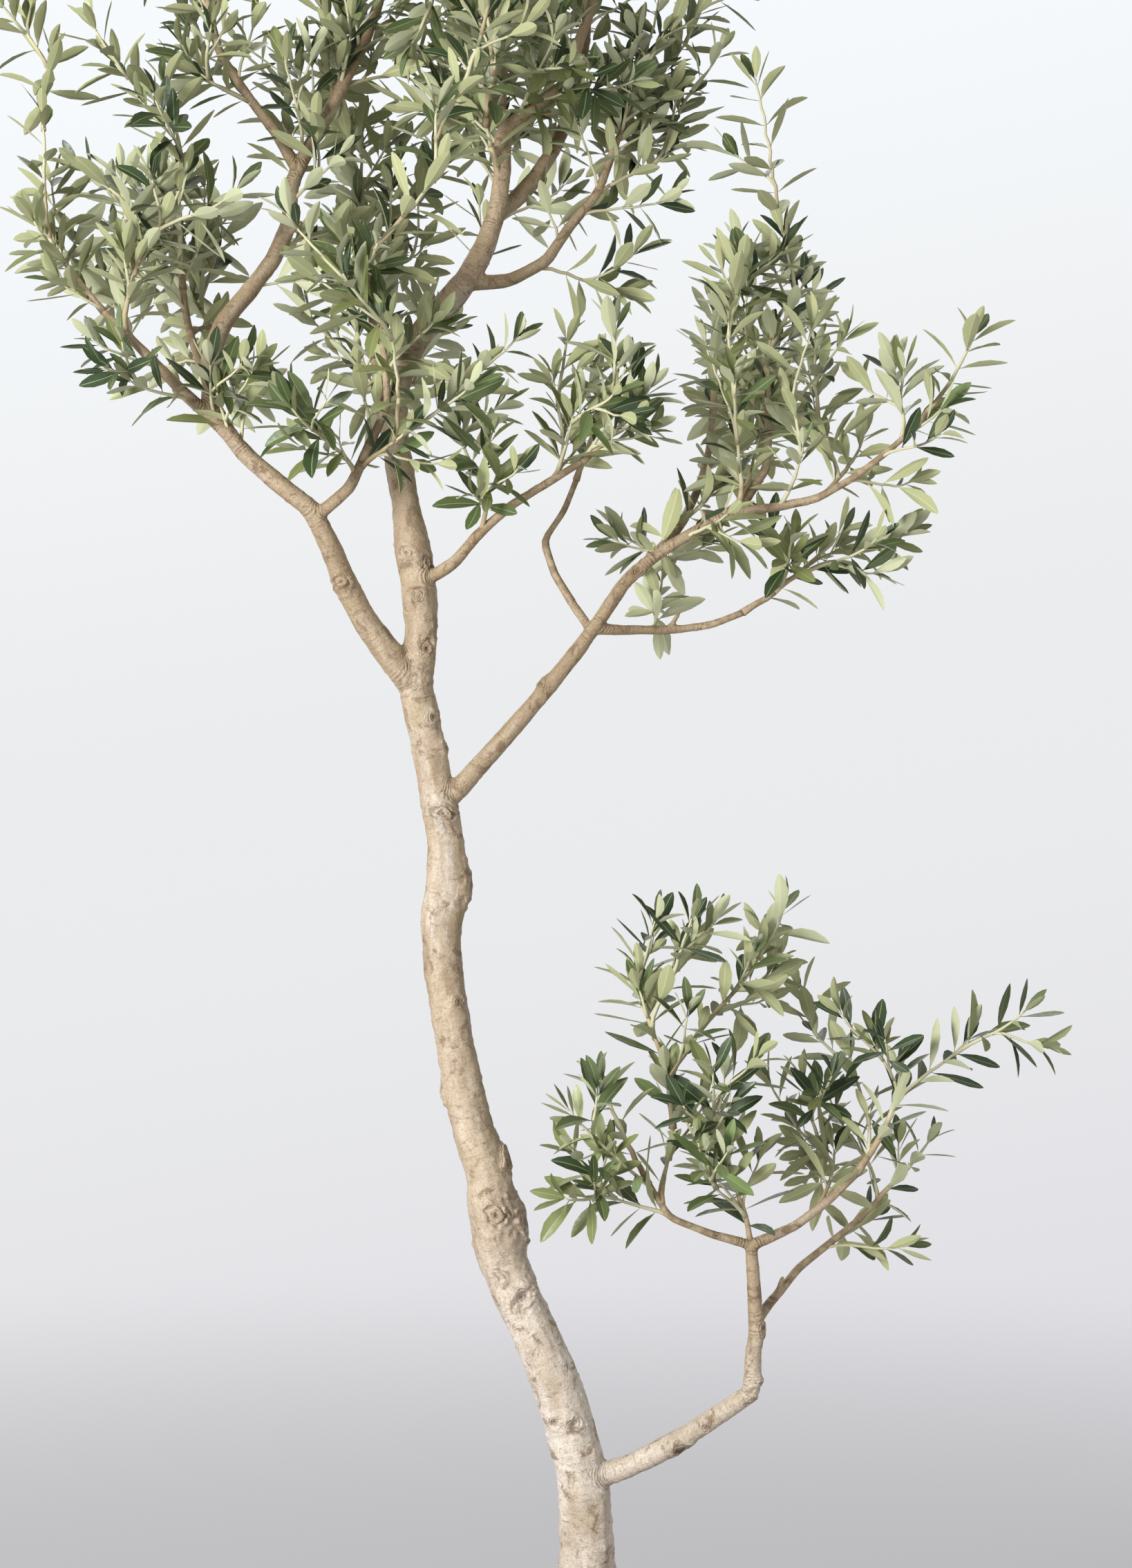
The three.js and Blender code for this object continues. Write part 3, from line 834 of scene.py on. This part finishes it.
# every place that a shoot can leave: where it is, its heading, its shoot and its mass
buds = {"places": [], "headings": [], "owners": [], "masses": []}
shoots = []


def addBud(place, heading, owner, mass):
    for key, value in zip(buds, (place, heading, owner, mass)):
        buds[key].append(value)


def bestBud(tip, mass):
    way = tip - np.array(buds["places"])
    length = np.linalg.norm(way, axis=1)
    way = way / np.maximum(length, 1e-6)[:, None]
    cost = length + growth["turnCost"] * (1 - (way * np.array(buds["headings"])).sum(1))
    cost += growth["downCost"] * (1 - way[:, 2])
    cost += growth["shortCost"] * (length < growth["shortest"])
    if mass in growsFrom:
        cost += growth["strangeCost"] * np.array([m != growsFrom[mass] for m in buds["masses"]])
    return int(cost.argmin()), float(cost.min())


def bezier(first, second, third, fourth, count):
    t = np.linspace(0, 1, count)[:, None]
    return ((1 - t) ** 3 * first + 3 * (1 - t) ** 2 * t * second
            + 3 * (1 - t) * t ** 2 * third + t ** 3 * fourth)


def addShoot(start, heading, owner, tip, mass, startRadius=None):
    length = np.linalg.norm(tip - start)
    way = (tip - start) / length
    leave = unit(way * growth["leaveWay"] + heading * growth["leaveHeading"]
                 + randomUnit() * growth["leaveSway"])
    arrive = unit(way + up * growth["lift"] + randomUnit() * growth["tipSway"])
    count = max(4, int(length / growth["pointStep"]) + 1)
    bend = growth["bend"]
    points = bezier(start, start + leave * length * bend, tip - arrive * length * bend, tip, count)
    wobble = min(growth["mostWobble"], length * growth["wobble"])
    for i in range(1, count - 1):
        points[i] += randomUnit() * wobble * growth["wobbleSide"]
    index = len(shoots)
    headings = headingsAlong(points)
    shoots.append({"points": points, "along": lengthsAlong(points), "headings": headings,
                   "owner": owner, "mass": mass, "children": 0, "startRadius": startRadius})
    every = max(1, round(growth["nodeStep"] / growth["pointStep"]))
    for i in range(max(1, count // 4), count - 1, every):
        addBud(points[i], headings[i], index, mass)
    carrier = owner
    while carrier >= 0:
        shoots[carrier]["children"] += 1
        carrier = shoots[carrier]["owner"]
    return index


woodPoints = np.concatenate([line["points"] for line in limbs.values()])


def tipsInside(name, count):
    bm = readSolid(name)
    tree = BVHTree.FromBMesh(bm)
    low, high = pointsOf(bm).min(0), pointsOf(bm).max(0)
    bm.free()
    found, depths = [], []
    for _ in range(growth["tries"]):
        p = Vector([rng.uniform(a, b) for a, b in zip(low, high)])
        place, normal, _, depth = tree.find_nearest(p)
        if place is not None and (p - place).dot(normal) < 0:
            found.append(np.array(p))
            depths.append(depth)
        if len(found) >= count * growth["triesPerTip"]:
            break
    # leaves reach on past the tips, so the tips stay a little inside
    least = min(growth["tipDepth"], 0.55 * max(depths))
    outer = np.array([p for p, depth in zip(found, depths) if depth >= growth["endDepth"]] or found)
    far = [np.linalg.norm(woodPoints - p, axis=1).min() + 0.6 * p[2] for p in outer]
    found = np.array([p for p, depth in zip(found, depths) if depth >= least])
    found = np.vstack([outer[int(np.argmax(far))], found])
    # spread out: the first tip is at the mass's far end, each next one farthest from those before
    chosen = [0]
    gap = np.linalg.norm(found - found[chosen[0]], axis=1)
    while len(chosen) < min(count, len(found)):
        chosen.append(int((gap * (0.8 + 0.4 * np.array([rng.random() for _ in gap]))).argmax()))
        gap = np.minimum(gap, np.linalg.norm(found - found[chosen[-1]], axis=1))
    return found[chosen]


def massVolume(name):
    bm = readSolid(name)
    volume = abs(bm.calc_volume())
    bm.free()
    return volume


for name, line in limbs.items():
    length = line["along"][-1]
    for i in range(0, len(line["points"]), 4):
        if line["along"][i] > bareUpTo.get(name, 0.25) * length:
            addBud(line["points"][i], line["headings"][i], -1, name)

# every limb goes on into a shoot of its own
for name, line in limbs.items():
    if name in ("trunk", "leader", "bough_low", "bough_low_riser"):
        continue
    end, heading = line["points"][-1], line["headings"][-1]
    way = unit(heading + up * growth["lift"] + randomUnit() * growth["tipSway"])
    tip = end + way * rng.uniform(*growth["limbTip"])
    addShoot(end - heading * 0.004, heading, -1, tip, name, line["radii"][-1])

# side shoots along the upper boughs, so that these stand among leaves
sideShoots = {"after": 0.10, "until": 0.95, "every": 0.044, "everySway": (0.7, 1.3),
              "reach": (0.065, 0.120), "along": 0.7, "lift": 0.35}
for name in ("bough_left", "bough_left_high", "bough_left_inner", "bough_top", "bough_top_back",
             "bough_right_high", "bough_right", "bough_back", "bough_back_left", "bough_back_right"):
    line = limbs[name]
    length = line["along"][-1]
    at = (bareUpTo.get(name, 0.25) + sideShoots["after"]) * length
    while at < sideShoots["until"] * length:
        i = int(np.argmin(abs(line["along"] - at)))
        heading = line["headings"][i]
        side = unit(np.cross(heading, randomUnit()))
        way = unit(heading * sideShoots["along"] + side + up * sideShoots["lift"])
        start = line["points"][i]
        addShoot(start, heading, -1, start + way * rng.uniform(*sideShoots["reach"]), name)
        at += sideShoots["every"] * rng.uniform(*sideShoots["everySway"])

tips = []
for name in massNodes:
    share = thinMasses.get(name, 1.0)
    count = max(round(growth["fewest"] * share), round(massVolume(name) / growth["room"] * share))
    tips += [(name, tip) for tip in tipsInside(name, count)]
# the nearest tips are reached first, so that the wood grows outwards
waiting = list(range(len(tips)))
costs = [bestBud(tip, mass)[1] for mass, tip in tips]
while waiting:
    k = min(waiting, key=lambda i: costs[i])
    waiting.remove(k)
    name, tip = tips[k]
    grownFrom = len(buds["places"])
    i = bestBud(tip, name)[0]
    addShoot(buds["places"][i], buds["headings"][i], buds["owners"][i], tip, name)
    fresh = np.array(buds["places"][grownFrom:]).reshape(-1, 3)
    if len(fresh):
        for j in waiting:
            near = np.linalg.norm(fresh - tips[j][1], axis=1).min()
            if near < costs[j]:
                costs[j] = bestBud(tips[j][1], tips[j][0])[1]
# short side shoots fill out the long ones
for index in range(len(shoots)):
    shoot = shoots[index]
    length = shoot["along"][-1]
    for share in growth["spurPlaces"]:
        if length * (1 - share) < growth["spurRoom"] or rng.random() > growth["spurOdds"]:
            continue
        at = int(len(shoot["points"]) * share)
        heading = shoot["headings"][at]
        side = unit(np.cross(heading, randomUnit()))
        reach = rng.uniform(*growth["spur"])
        start = shoot["points"][at]
        way = unit(heading + side * growth["spurOut"] + up * growth["spurLift"])
        addShoot(start, heading, index, start + way * reach, shoot["mass"])
print("shoots:", len(shoots))


# twigs: the shoots as tubes, thicker with what they carry

twigShape = {
    "tip": 0.0010, "base": 0.0018, "perShoot": 0.00045, "thickest": 0.0042, "nodeSwell": 0.22,
    "youngPart": 0.12, "middlePart": 0.20, "limbFade": 0.07, "taper": 0.7, "swellReach": 0.006,
    "fullLoad": 8, "youngLost": 0.7, "middleLost": 0.8,
}


def shootRadii(shoot):
    share = shoot["along"] / shoot["along"][-1]
    base = min(twigShape["thickest"],
               twigShape["base"] + twigShape["perShoot"] * math.sqrt(shoot["children"]))
    if shoot["startRadius"]:
        base = shoot["startRadius"]
    radii = twigShape["tip"] + (base - twigShape["tip"]) * (1 - share) ** twigShape["taper"]
    radii *= 1 + twigShape["nodeSwell"] * np.exp(-shoot["along"] / twigShape["swellReach"])
    return radii


def cutShoot(shoot):
    # the tip is young, then it turns to tan and to old wood; a shoot that carries many ages sooner
    points, radii = shoot["points"], shoot["radii"]
    fromTip = shoot["along"][-1] - shoot["along"]
    aged = min(1.0, shoot["children"] / twigShape["fullLoad"])
    first = twigShape["youngPart"] * (1 - twigShape["youngLost"] * aged)
    second = first + twigShape["middlePart"] * (1 - twigShape["middleLost"] * aged)
    marks = [0] + [int(np.argmin(abs(fromTip - reach))) for reach in (second, first)]
    marks.append(len(points) - 1)
    ages = np.interp(fromTip, (0.5 * first, 1.3 * first, 1.3 * second), (0.0, 1.0, 2.0))
    if shoot["startRadius"]:
        ages = np.maximum(ages, 2 - 2 * shoot["along"] / twigShape["limbFade"])
    for name, start, end in zip(("oldTwigs", "twigs", "youngStems"), marks, marks[1:]):
        if end > start:
            part = slice(start, end + 1)
            yield name, points[part], radii[part], ages[part]


def addAge(mesh, lines):
    # how old the wood is at each point: 0 at a green tip, 1 tan, 2 grown to bark
    places = np.concatenate([points for points, _, _ in lines])
    ages = np.concatenate([age for _, _, age in lines])
    near = KDTree(len(places))
    for i, place in enumerate(places):
        near.insert(place, i)
    near.balance()
    values = [ages[near.find(v.co)[1]] for v in mesh.vertices]
    addValues(mesh, "age", values)


stems = {"youngStems": [], "twigs": [], "oldTwigs": []}
for shoot in shoots:
    shoot["radii"] = shootRadii(shoot)
    for name, *part in cutShoot(shoot):
        stems[name].append(part)
for name, line in limbs.items():
    if line["split"] < len(line["points"]) - 1:
        first = max(0, line["split"] - 4)
        points = line["points"][first::2]
        stems["oldTwigs"].append((points, line["radii"][first::2], np.full(len(points), 2.0)))
twigBark = stemMaterial()
for name, lines in stems.items():
    mesh = tubeMesh(name, [(points, radii) for points, radii, _ in lines], 1)
    addAge(mesh, lines)
    mesh.materials.append(twigBark)
    linkPiece(name, mesh, "twigs")
    print(name, len(mesh.polygons), "faces")


# leaves: closed blades with a pale rib, in opposite pairs along the ends of the shoots

leafShape = {
    "length": 0.053, "spreadLength": 0.16, "breadth": 0.300, "thickness": 0.0005,
    "stations": (0.0, 0.07, 0.24, 0.48, 0.72, 0.91, 1.0), "widest": 1.22, "fullness": 0.66,
    "across": 3, "ribHalf": 0.045, "petiole": 0.06, "stalk": 0.014, "tipWidth": 0.10,
    "pairGap": 0.0175, "tipGap": 0.0070, "loneGap": 0.025, "leafy": (0.10, 0.18), "missing": 0.07,
    "angle": 55, "tipAngle": 22, "anglePairs": 3, "angleSway": (0.85, 1.15),
    "vigour": (0.85, 1.12), "youngest": 0.66, "growth": 0.13, "sameTint": 0.8, "darkUnder": 0.6,
    "bareBase": 0.82, "loneBareBase": 0.88, "levelSway": 0.05, "rollSway": 0.25, "turnSway": 0.15,
    "lift": 0.08, "droop": 0.10, "droopPerPair": 0.09, "faceUp": 0.35, "faceSway": 0.35,
    "seat": 0.7, "gapSway": (0.85, 1.2),
}
leafColours = {
    "deep": (0.036, 0.060, 0.023), "mid": (0.088, 0.120, 0.042), "olive": (0.180, 0.202, 0.072),
    "sage": (0.320, 0.350, 0.170), "young": (0.170, 0.235, 0.085),
    "rib": (0.52, 0.53, 0.30), "under": (0.375, 0.390, 0.205), "underPale": (0.46, 0.48, 0.305),
    "topRib": (0.27, 0.32, 0.17),
}


def leafTemplate(arch, fold, twist, bow):
    bm = bmesh.new()
    places = leafShape["stations"]
    bmesh.ops.create_grid(bm, x_segments=leafShape["across"], y_segments=len(places) - 1,
                          size=0.5)
    half = leafShape["breadth"] / 2
    stations = {}
    for v in bm.verts:
        stations[v.index] = (v.co.x * 2, places[round((v.co.y + 0.5) * (len(places) - 1))])
    for v in bm.verts:
        u, t = stations[v.index]
        blade = max(0.0, (t - leafShape["petiole"]) / (1 - leafShape["petiole"]))
        bulge = math.sin(math.pi * min(1, blade ** leafShape["widest"])) if blade < 1 else 0
        width = half * max(0, bulge) ** leafShape["fullness"]
        width = max(width, leafShape["stalk"] if t < 0.3 else half * leafShape["tipWidth"])
        across = u if abs(u) > 0.9 else math.copysign(leafShape["ribHalf"], u)
        x = across * width if abs(u) > 0.9 else across * half * min(1, width / half * 1.6)
        turn = twist * t
        z = fold * abs(x) - arch * t * t
        v.co = (x * math.cos(turn) + bow * math.sin(math.pi * t), t, z + x * math.sin(turn))
    for face in bm.faces:
        face.material_index = 1 if abs(sum(stations[v.index][0] for v in face.verts)) < 0.5 else 0
        face.smooth = True
    under = bmesh.ops.duplicate(bm, geom=bm.verts[:] + bm.edges[:] + bm.faces[:])["geom"]
    underFaces = [g for g in under if isinstance(g, bmesh.types.BMFace)]
    bmesh.ops.reverse_faces(bm, faces=underFaces)
    for face in underFaces:
        face.material_index += 2
    inner = [v for v in bm.verts if not v.is_boundary]
    lowered = {v for face in underFaces for v in face.verts}
    drop = leafShape["thickness"] / leafShape["length"]
    for v in inner:
        if v in lowered:
            v.co.z -= drop
    bmesh.ops.remove_doubles(bm, verts=bm.verts, dist=0.0008)
    bmesh.ops.triangulate(bm, faces=bm.faces)
    bm.verts.index_update()
    bm.normal_update()
    leaf = pointsOf(bm), trianglesOf(bm), np.array([f.material_index for f in bm.faces])
    bm.free()
    return leaf


templates = [leafTemplate(*shape) for shape in (
    (0.05, 0.22, 0.0, 0.0), (0.14, 0.30, 0.15, 0.02), (-0.06, 0.15, -0.2, -0.02),
    (0.22, 0.35, 0.3, 0.03), (0.02, 0.10, -0.35, 0.0), (0.10, 0.45, 0.1, -0.03))]
print("leaf of", len(templates[0][1]), "triangles")


def areaOf(mass):
    # the piece that a mass's leaves, or a limb's own, are joined into
    if mass.startswith(("mass_low_", "bough_low")) and mass != "mass_low_left_small":
        return "leavesLow"
    if "right" in mass or "tall" in mass:
        return "leavesBackRight" if "back" in mass else "leavesRight"
    if "left" in mass:
        return "leavesLeft"
    return "leavesTop" if "top" in mass else "leavesCenter"


tintOdds = [("deep", 0.31), ("mid", 0.33), ("olive", 0.20), ("sage", 0.13), ("young", 0.03)]
leafSets = {}


def pickTint():
    roll = rng.random()
    for tint, share in tintOdds:
        roll -= share
        if roll < 0:
            return tint
    return tintOdds[0][0]


leafRoom = (np.array(cadBox[0]) - (0.03, 0.018, 0.0), np.array(cadBox[1]) + (0.03, 0.018, 0.05))


def addLeaf(area, place, axis, face, length, tint, under):
    end = place + axis * length
    if (end < leafRoom[0]).any() or (end > leafRoom[1]).any():
        return
    face = unit(face - axis * (face @ axis))
    side = np.cross(axis, face)
    turn = np.stack([side, axis, face], 1)
    template = rng.randrange(len(templates))
    leafSets.setdefault(area, []).append((template, place, turn * length, tint, under))


def leafShoot(shoot):
    along, points, headings = shoot["along"], shoot["points"], shoot["headings"]
    total = along[-1]
    leafy = min(total * leafShape["bareBase"], rng.uniform(*leafShape["leafy"]))
    gap = leafShape["pairGap"]
    if shoot["mass"] in growsFrom:
        leafy, gap = total * leafShape["loneBareBase"], leafShape["loneGap"]
    area = areaOf(shoot["mass"])
    tint = pickTint()
    under = "under" if rng.random() < leafShape["darkUnder"] else "underPale"
    vigour = rng.uniform(*leafShape["vigour"])
    back = 0.0
    pair = 0
    turn = rng.uniform(0, math.pi)
    while back < leafy:
        at = total - back
        place = pointAlong(at, along, points)
        heading = unit(pointAlong(at, along, headings))
        radius = float(np.interp(at, along, shoot["radii"]))
        level = unit(np.cross(heading, up) + randomUnit() * leafShape["levelSway"])
        other = np.cross(heading, level)
        grown = min(1.0, leafShape["youngest"] + pair * leafShape["growth"])
        opened = min(1, pair / leafShape["anglePairs"])
        angle = leafShape["tipAngle"] + (leafShape["angle"] - leafShape["tipAngle"]) * opened
        angle = math.radians(angle) * rng.uniform(*leafShape["angleSway"])
        for k in range(2):
            if pair > 1 and rng.random() < leafShape["missing"]:
                continue
            spin = turn + math.pi * k + rng.uniform(-leafShape["rollSway"], leafShape["rollSway"])
            out = math.cos(spin) * level + math.sin(spin) * other
            droop = leafShape["droop"] + leafShape["droopPerPair"] * min(4, pair)
            axis = unit(math.cos(angle) * heading + math.sin(angle) * out
                        - up * rng.uniform(-leafShape["lift"], droop))
            face = heading + up * leafShape["faceUp"] + randomUnit() * leafShape["faceSway"]
            length = leafShape["length"] * vigour * grown * rng.uniform(
                1 - leafShape["spreadLength"], 1 + leafShape["spreadLength"])
            addLeaf(area, place + out * radius * leafShape["seat"], axis, face, length,
                    tint if rng.random() < leafShape["sameTint"] else pickTint(), under)
        turn += math.pi / 2 + rng.uniform(-leafShape["turnSway"], leafShape["turnSway"])
        wider = (gap - leafShape["tipGap"]) * min(1, pair / 2)
        back += leafShape["tipGap"] + wider * rng.uniform(*leafShape["gapSway"])
        pair += 1


for shoot in shoots:
    leafShoot(shoot)

tops = [tint for tint, share in tintOdds]
leafMaterials = [leafMaterial("leafTop" + tint.title(), leafColours[tint], 0.42, 0.45) for tint in tops]
for key, *finish in (("rib", 0.6, 0.3), ("under", 0.72, 0.25, 0.1), ("underPale", 0.72, 0.25, 0.1),
                     ("topRib", 0.5, 0.35)):
    name = "leaf" + key[0].upper() + key[1:]
    leafMaterials.append(leafMaterial(name, leafColours[key], *finish))


def leafPiece(name, leaves):
    copies = []
    for template, place, turn, tint, under in leaves:
        points, tris, marks = templates[template]
        slots = np.array([tops.index(tint), 8, 6 if under == "under" else 7, 5])
        copies.append((points @ turn.T + place, tris, slots[marks]))
    mesh = joinedMesh(name, copies, True)
    mesh.set_sharp_from_angle(angle=math.radians(70))
    for material in leafMaterials:
        mesh.materials.append(material)
    return mesh


total = 0
for area, leaves in sorted(leafSets.items()):
    mesh = leafPiece(area, leaves)
    linkPiece(area, mesh, "leaves", *[n for n in massNodes if areaOf(n) == area])
    total += len(leaves)
    print(area, len(leaves), "leaves,", len(mesh.polygons), "triangles")
print("leaves in all:", total)


# pot and soil, with the CAD solids' own radii and heights

potShape = {"segments": 144, "holeRadius": 0.014, "holeDepth": 0.010,
            "rings": 0.00035, "sway": 0.0009, "bow": 0.004, "wallCuts": 28}
potColours = {"clay": (0.53, 0.225, 0.115), "pale": (0.66, 0.36, 0.22),
              "burnt": (0.38, 0.145, 0.075), "lime": (0.74, 0.62, 0.52)}


def levelsOf(node):
    # every corner of the solid's profile, as (radius, height), from the foot up
    points = np.array([v.co for v in nodes[node].data.vertices])
    radii = np.hypot(points[:, 0], points[:, 1])
    corners = {(round(float(r), 4), round(float(z), 4)) for r, z in zip(radii, points[:, 2])}
    return sorted(corners, key=lambda c: (c[1], c[0]))


def spinProfile(profile, segments):
    bm = bmesh.new()
    rail = [bm.verts.new((r, 0, z)) for r, z in profile]
    edges = [bm.edges.new(pair) for pair in zip(rail, rail[1:])]
    bmesh.ops.spin(bm, geom=rail + edges, cent=(0, 0, 0), axis=(0, 0, 1), angle=2 * math.pi,
                   steps=segments, use_merge=True)
    bmesh.ops.remove_doubles(bm, verts=bm.verts, dist=1e-5)
    bmesh.ops.recalc_face_normals(bm, faces=bm.faces)
    for face in bm.faces:
        face.smooth = True
    return bm


def roundCorner(profile, at, radius, steps=5):
    # a corner of the profile becomes an arc
    corner = np.array(profile[at])
    before = corner + unit(np.array(profile[at - 1]) - corner) * radius
    after = corner + unit(np.array(profile[at + 1]) - corner) * radius
    arc = []
    for i in range(steps + 1):
        t = i / steps
        arc.append(tuple((1 - t) ** 2 * before + 2 * t * (1 - t) * corner + t * t * after))
    return profile[:at] + arc + profile[at + 1:]


def potProfile():
    corners = levelsOf("pot")
    foot = max(c[0] for c in corners if c[1] == corners[0][1])
    floor = min(c[1] for c in corners if c[1] > 0.001)
    innerFoot = max(c[0] for c in corners if c[1] == floor)
    top = corners[-1][1]
    band = min(c[1] for c in corners if c[1] > floor + 0.1)
    bandRadii = sorted(c[0] for c in corners if c[1] == band)
    rim = max(c[0] for c in corners)
    inner = bandRadii[0]
    hole, depth = potShape["holeRadius"], potShape["holeDepth"]
    profile = [(0.0, depth), (hole, depth), (hole, 0.0), (foot, 0.0),
               (bandRadii[1], band), (rim, band), (rim, top), (inner, top), (inner, band),
               (innerFoot, floor), (0.0, floor)]
    for at, radius in ((9, 0.010), (7, 0.006), (6, 0.007), (5, 0.005), (4, 0.006), (3, 0.006),
                       (2, 0.003)):
        profile = roundCorner(profile, at, radius)
    return profile, band


def potMaterial():
    material, tree, shader = newMaterial("terracotta", potColours["clay"], 0.8, 0.25)
    place = objectPlace(tree)
    wide = noiseAt(tree, place, 7, 5, 0.6)
    colour = blendColour(tree, spread(tree, wide, 0.38, 0.62),
                         potColours["burnt"], potColours["clay"])
    pale = spread(tree, noiseAt(tree, place, 14, 6, 0.65), 0.50, 0.70, 0.0, 0.65)
    colour = blendColour(tree, pale, colour, potColours["pale"])
    height = addNode(tree, "ShaderNodeSeparateXYZ", {0: place}).outputs["Z"]
    lowBand = spread(tree, height, 0.0, 0.17, 1.0, 0.25)
    limeSpots = spread(tree, noiseAt(tree, place, 23, 7, 0.7, 0.5), 0.54, 0.72, 0.0, 0.8)
    lime = times(tree, limeSpots, lowBand)
    colour = blendColour(tree, lime, colour, potColours["lime"])
    specks = spread(tree, noiseAt(tree, place, 330, 2, 0.5), 0.66, 0.74, 0.0, 0.55)
    colour = blendColour(tree, specks, colour, potColours["burnt"])
    tree.links.new(colour, shader.inputs["Base Color"])
    turned = addNode(tree, "ShaderNodeMapping",
                     {"Vector": place, "Scale": (0.6, 0.6, 55.0)}).outputs[0]
    rings = noiseAt(tree, turned, 4.0, 3, 0.5)
    grain = noiseAt(tree, place, 520, 4, 0.7)
    relief = added(tree, times(tree, rings, 0.7), times(tree, grain, 0.5))
    bumpFrom(tree, shader, relief, 0.5, 0.0016)
    tree.links.new(spread(tree, wide, 0.3, 0.7, 0.92, 0.72), shader.inputs["Roughness"])
    return material


def addPot():
    profile, band = potProfile()
    bm = spinProfile(profile, potShape["segments"])
    long = [e for e in bm.edges if abs(e.verts[0].co.z - e.verts[1].co.z) > 0.05]
    bmesh.ops.subdivide_edges(bm, edges=long, cuts=potShape["wallCuts"], use_grid_fill=True)
    for v in bm.verts:
        radius = math.hypot(v.co.x, v.co.y)
        if radius < 0.03:
            continue
        rings = noise.noise(Vector((v.co.x * 3, v.co.y * 3, v.co.z * 90))) * potShape["rings"]
        sway = noise.noise(Vector((v.co.x * 9, v.co.y * 9, v.co.z * 7 + 5))) * potShape["sway"]
        bow = potShape["bow"] * math.sin(math.pi * v.co.z / band) if v.co.z < band else 0.0
        scale = 1 + (rings + sway + bow * (v.co.z > 0.002)) / radius
        v.co.x *= scale
        v.co.y *= scale
    mesh = finishedMesh("potTurned", bm)
    mesh.materials.append(potMaterial())
    linkPiece("potTurned", mesh, "terracotta", "pot")
    print("pot", len(mesh.polygons), "faces")


soilShape = {"segments": 120, "rings": 46, "clear": 0.0012, "depth": 0.022, "lump": 0.0042,
             "fine": 0.0016, "lumpRate": 55, "fineRate": 420, "chips": 900, "grit": 260,
             "chipSize": (0.0022, 0.0085), "chipWidth": (0.35, 0.7), "chipHeight": (0.14, 0.3),
             "chipRough": 0.22, "sunk": 0.35}
soilColours = {"peat": (0.050, 0.030, 0.018), "loam": (0.105, 0.066, 0.040),
               "dry": (0.19, 0.135, 0.09), "chip": (0.17, 0.095, 0.050),
               "chipPale": (0.30, 0.19, 0.11), "grit": (0.62, 0.60, 0.55)}


def soilMaterial():
    material, tree, shader = newMaterial("compost", soilColours["loam"], 0.95, 0.15)
    place = objectPlace(tree)
    coarse = noiseAt(tree, place, 70, 7, 0.7)
    colour = blendColour(tree, spread(tree, coarse, 0.35, 0.62),
                         soilColours["peat"], soilColours["loam"])
    dry = spread(tree, noiseAt(tree, place, 210, 4, 0.7), 0.56, 0.68, 0.0, 0.8)
    colour = blendColour(tree, dry, colour, soilColours["dry"])
    tree.links.new(colour, shader.inputs["Base Color"])
    bumpFrom(tree, shader, noiseAt(tree, place, 330, 7, 0.75), 0.9, 0.003)
    return material


def addSoil():
    corners = levelsOf("soil")
    edge = max(corners, key=lambda c: (c[0], c[1]))
    crown = max(c[1] for c in corners)
    mound = max(c[0] for c in corners if c[1] == crown)
    outer = edge[0] - soilShape["clear"]
    count = soilShape["rings"]
    profile = [(0.0, edge[1] - soilShape["depth"]), (outer, edge[1] - soilShape["depth"])]
    for i in range(count + 1):
        radius = outer * (1 - i / count)
        fall = min(1.0, max(0.0, (radius - mound) / (edge[0] - mound)))
        profile.append((radius, crown + (edge[1] - crown) * fall))
    bm = spinProfile(profile, soilShape["segments"])
    for v in bm.verts:
        if v.co.z < edge[1] - soilShape["depth"] + 0.001:
            continue
        place = Vector(v.co)
        lift = noise.fractal(place * soilShape["lumpRate"], 0.9, 2.0, 4) * soilShape["lump"]
        lift += noise.noise(place * soilShape["fineRate"]) * soilShape["fine"]
        v.co.z += lift
    surface = BVHTree.FromBMesh(bm)
    mesh = finishedMesh("compost", bm)
    mesh.materials.append(soilMaterial())
    linkPiece("compost", mesh, "soil", "soil")
    lump = bmesh.new()
    bmesh.ops.create_icosphere(lump, subdivisions=1, radius=1)
    points, tris = pointsOf(lump), trianglesOf(lump)
    lump.free()
    copies = []
    total = soilShape["chips"] + soilShape["grit"]
    for i in range(total):
        reach = (outer - 0.006) * math.sqrt(rng.random())
        turn = rng.uniform(0, 2 * math.pi)
        above = Vector((reach * math.cos(turn), reach * math.sin(turn), 1))
        spot = surface.ray_cast(above, Vector((0, 0, -1)))[0]
        size = rng.uniform(*soilShape["chipSize"])
        grit = i >= soilShape["chips"]
        squash = np.array((0.30, 0.28, 0.26)) * 0.5 if grit else np.array(
            (1, rng.uniform(*soilShape["chipWidth"]), rng.uniform(*soilShape["chipHeight"])))
        uneven = np.array([rng.gauss(0, 1) for _ in range(len(points))])[:, None]
        rough = 1 + soilShape["chipRough"] * uneven
        spin = Matrix.Rotation(rng.uniform(0, 6.28), 3, "Z")
        spin = spin @ Matrix.Rotation(rng.gauss(0, 0.35), 3, "X")
        shape = (points * rough * squash * size) @ np.array(spin).T
        shape = shape + np.array(spot) + up * size * squash[2] * soilShape["sunk"]
        copies.append((shape, tris, np.full(len(tris), 2 if grit else rng.randrange(2))))
    mesh = joinedMesh("compostChips", copies, False)
    for name in ("chip", "chipPale", "grit"):
        mesh.materials.append(grainMaterial("compost" + name.title(), soilColours[name], 500, 0.0006))
    linkPiece("compostChips", mesh, "soil")
    print("soil with", total, "chips and grains")


addPot()
addSoil()
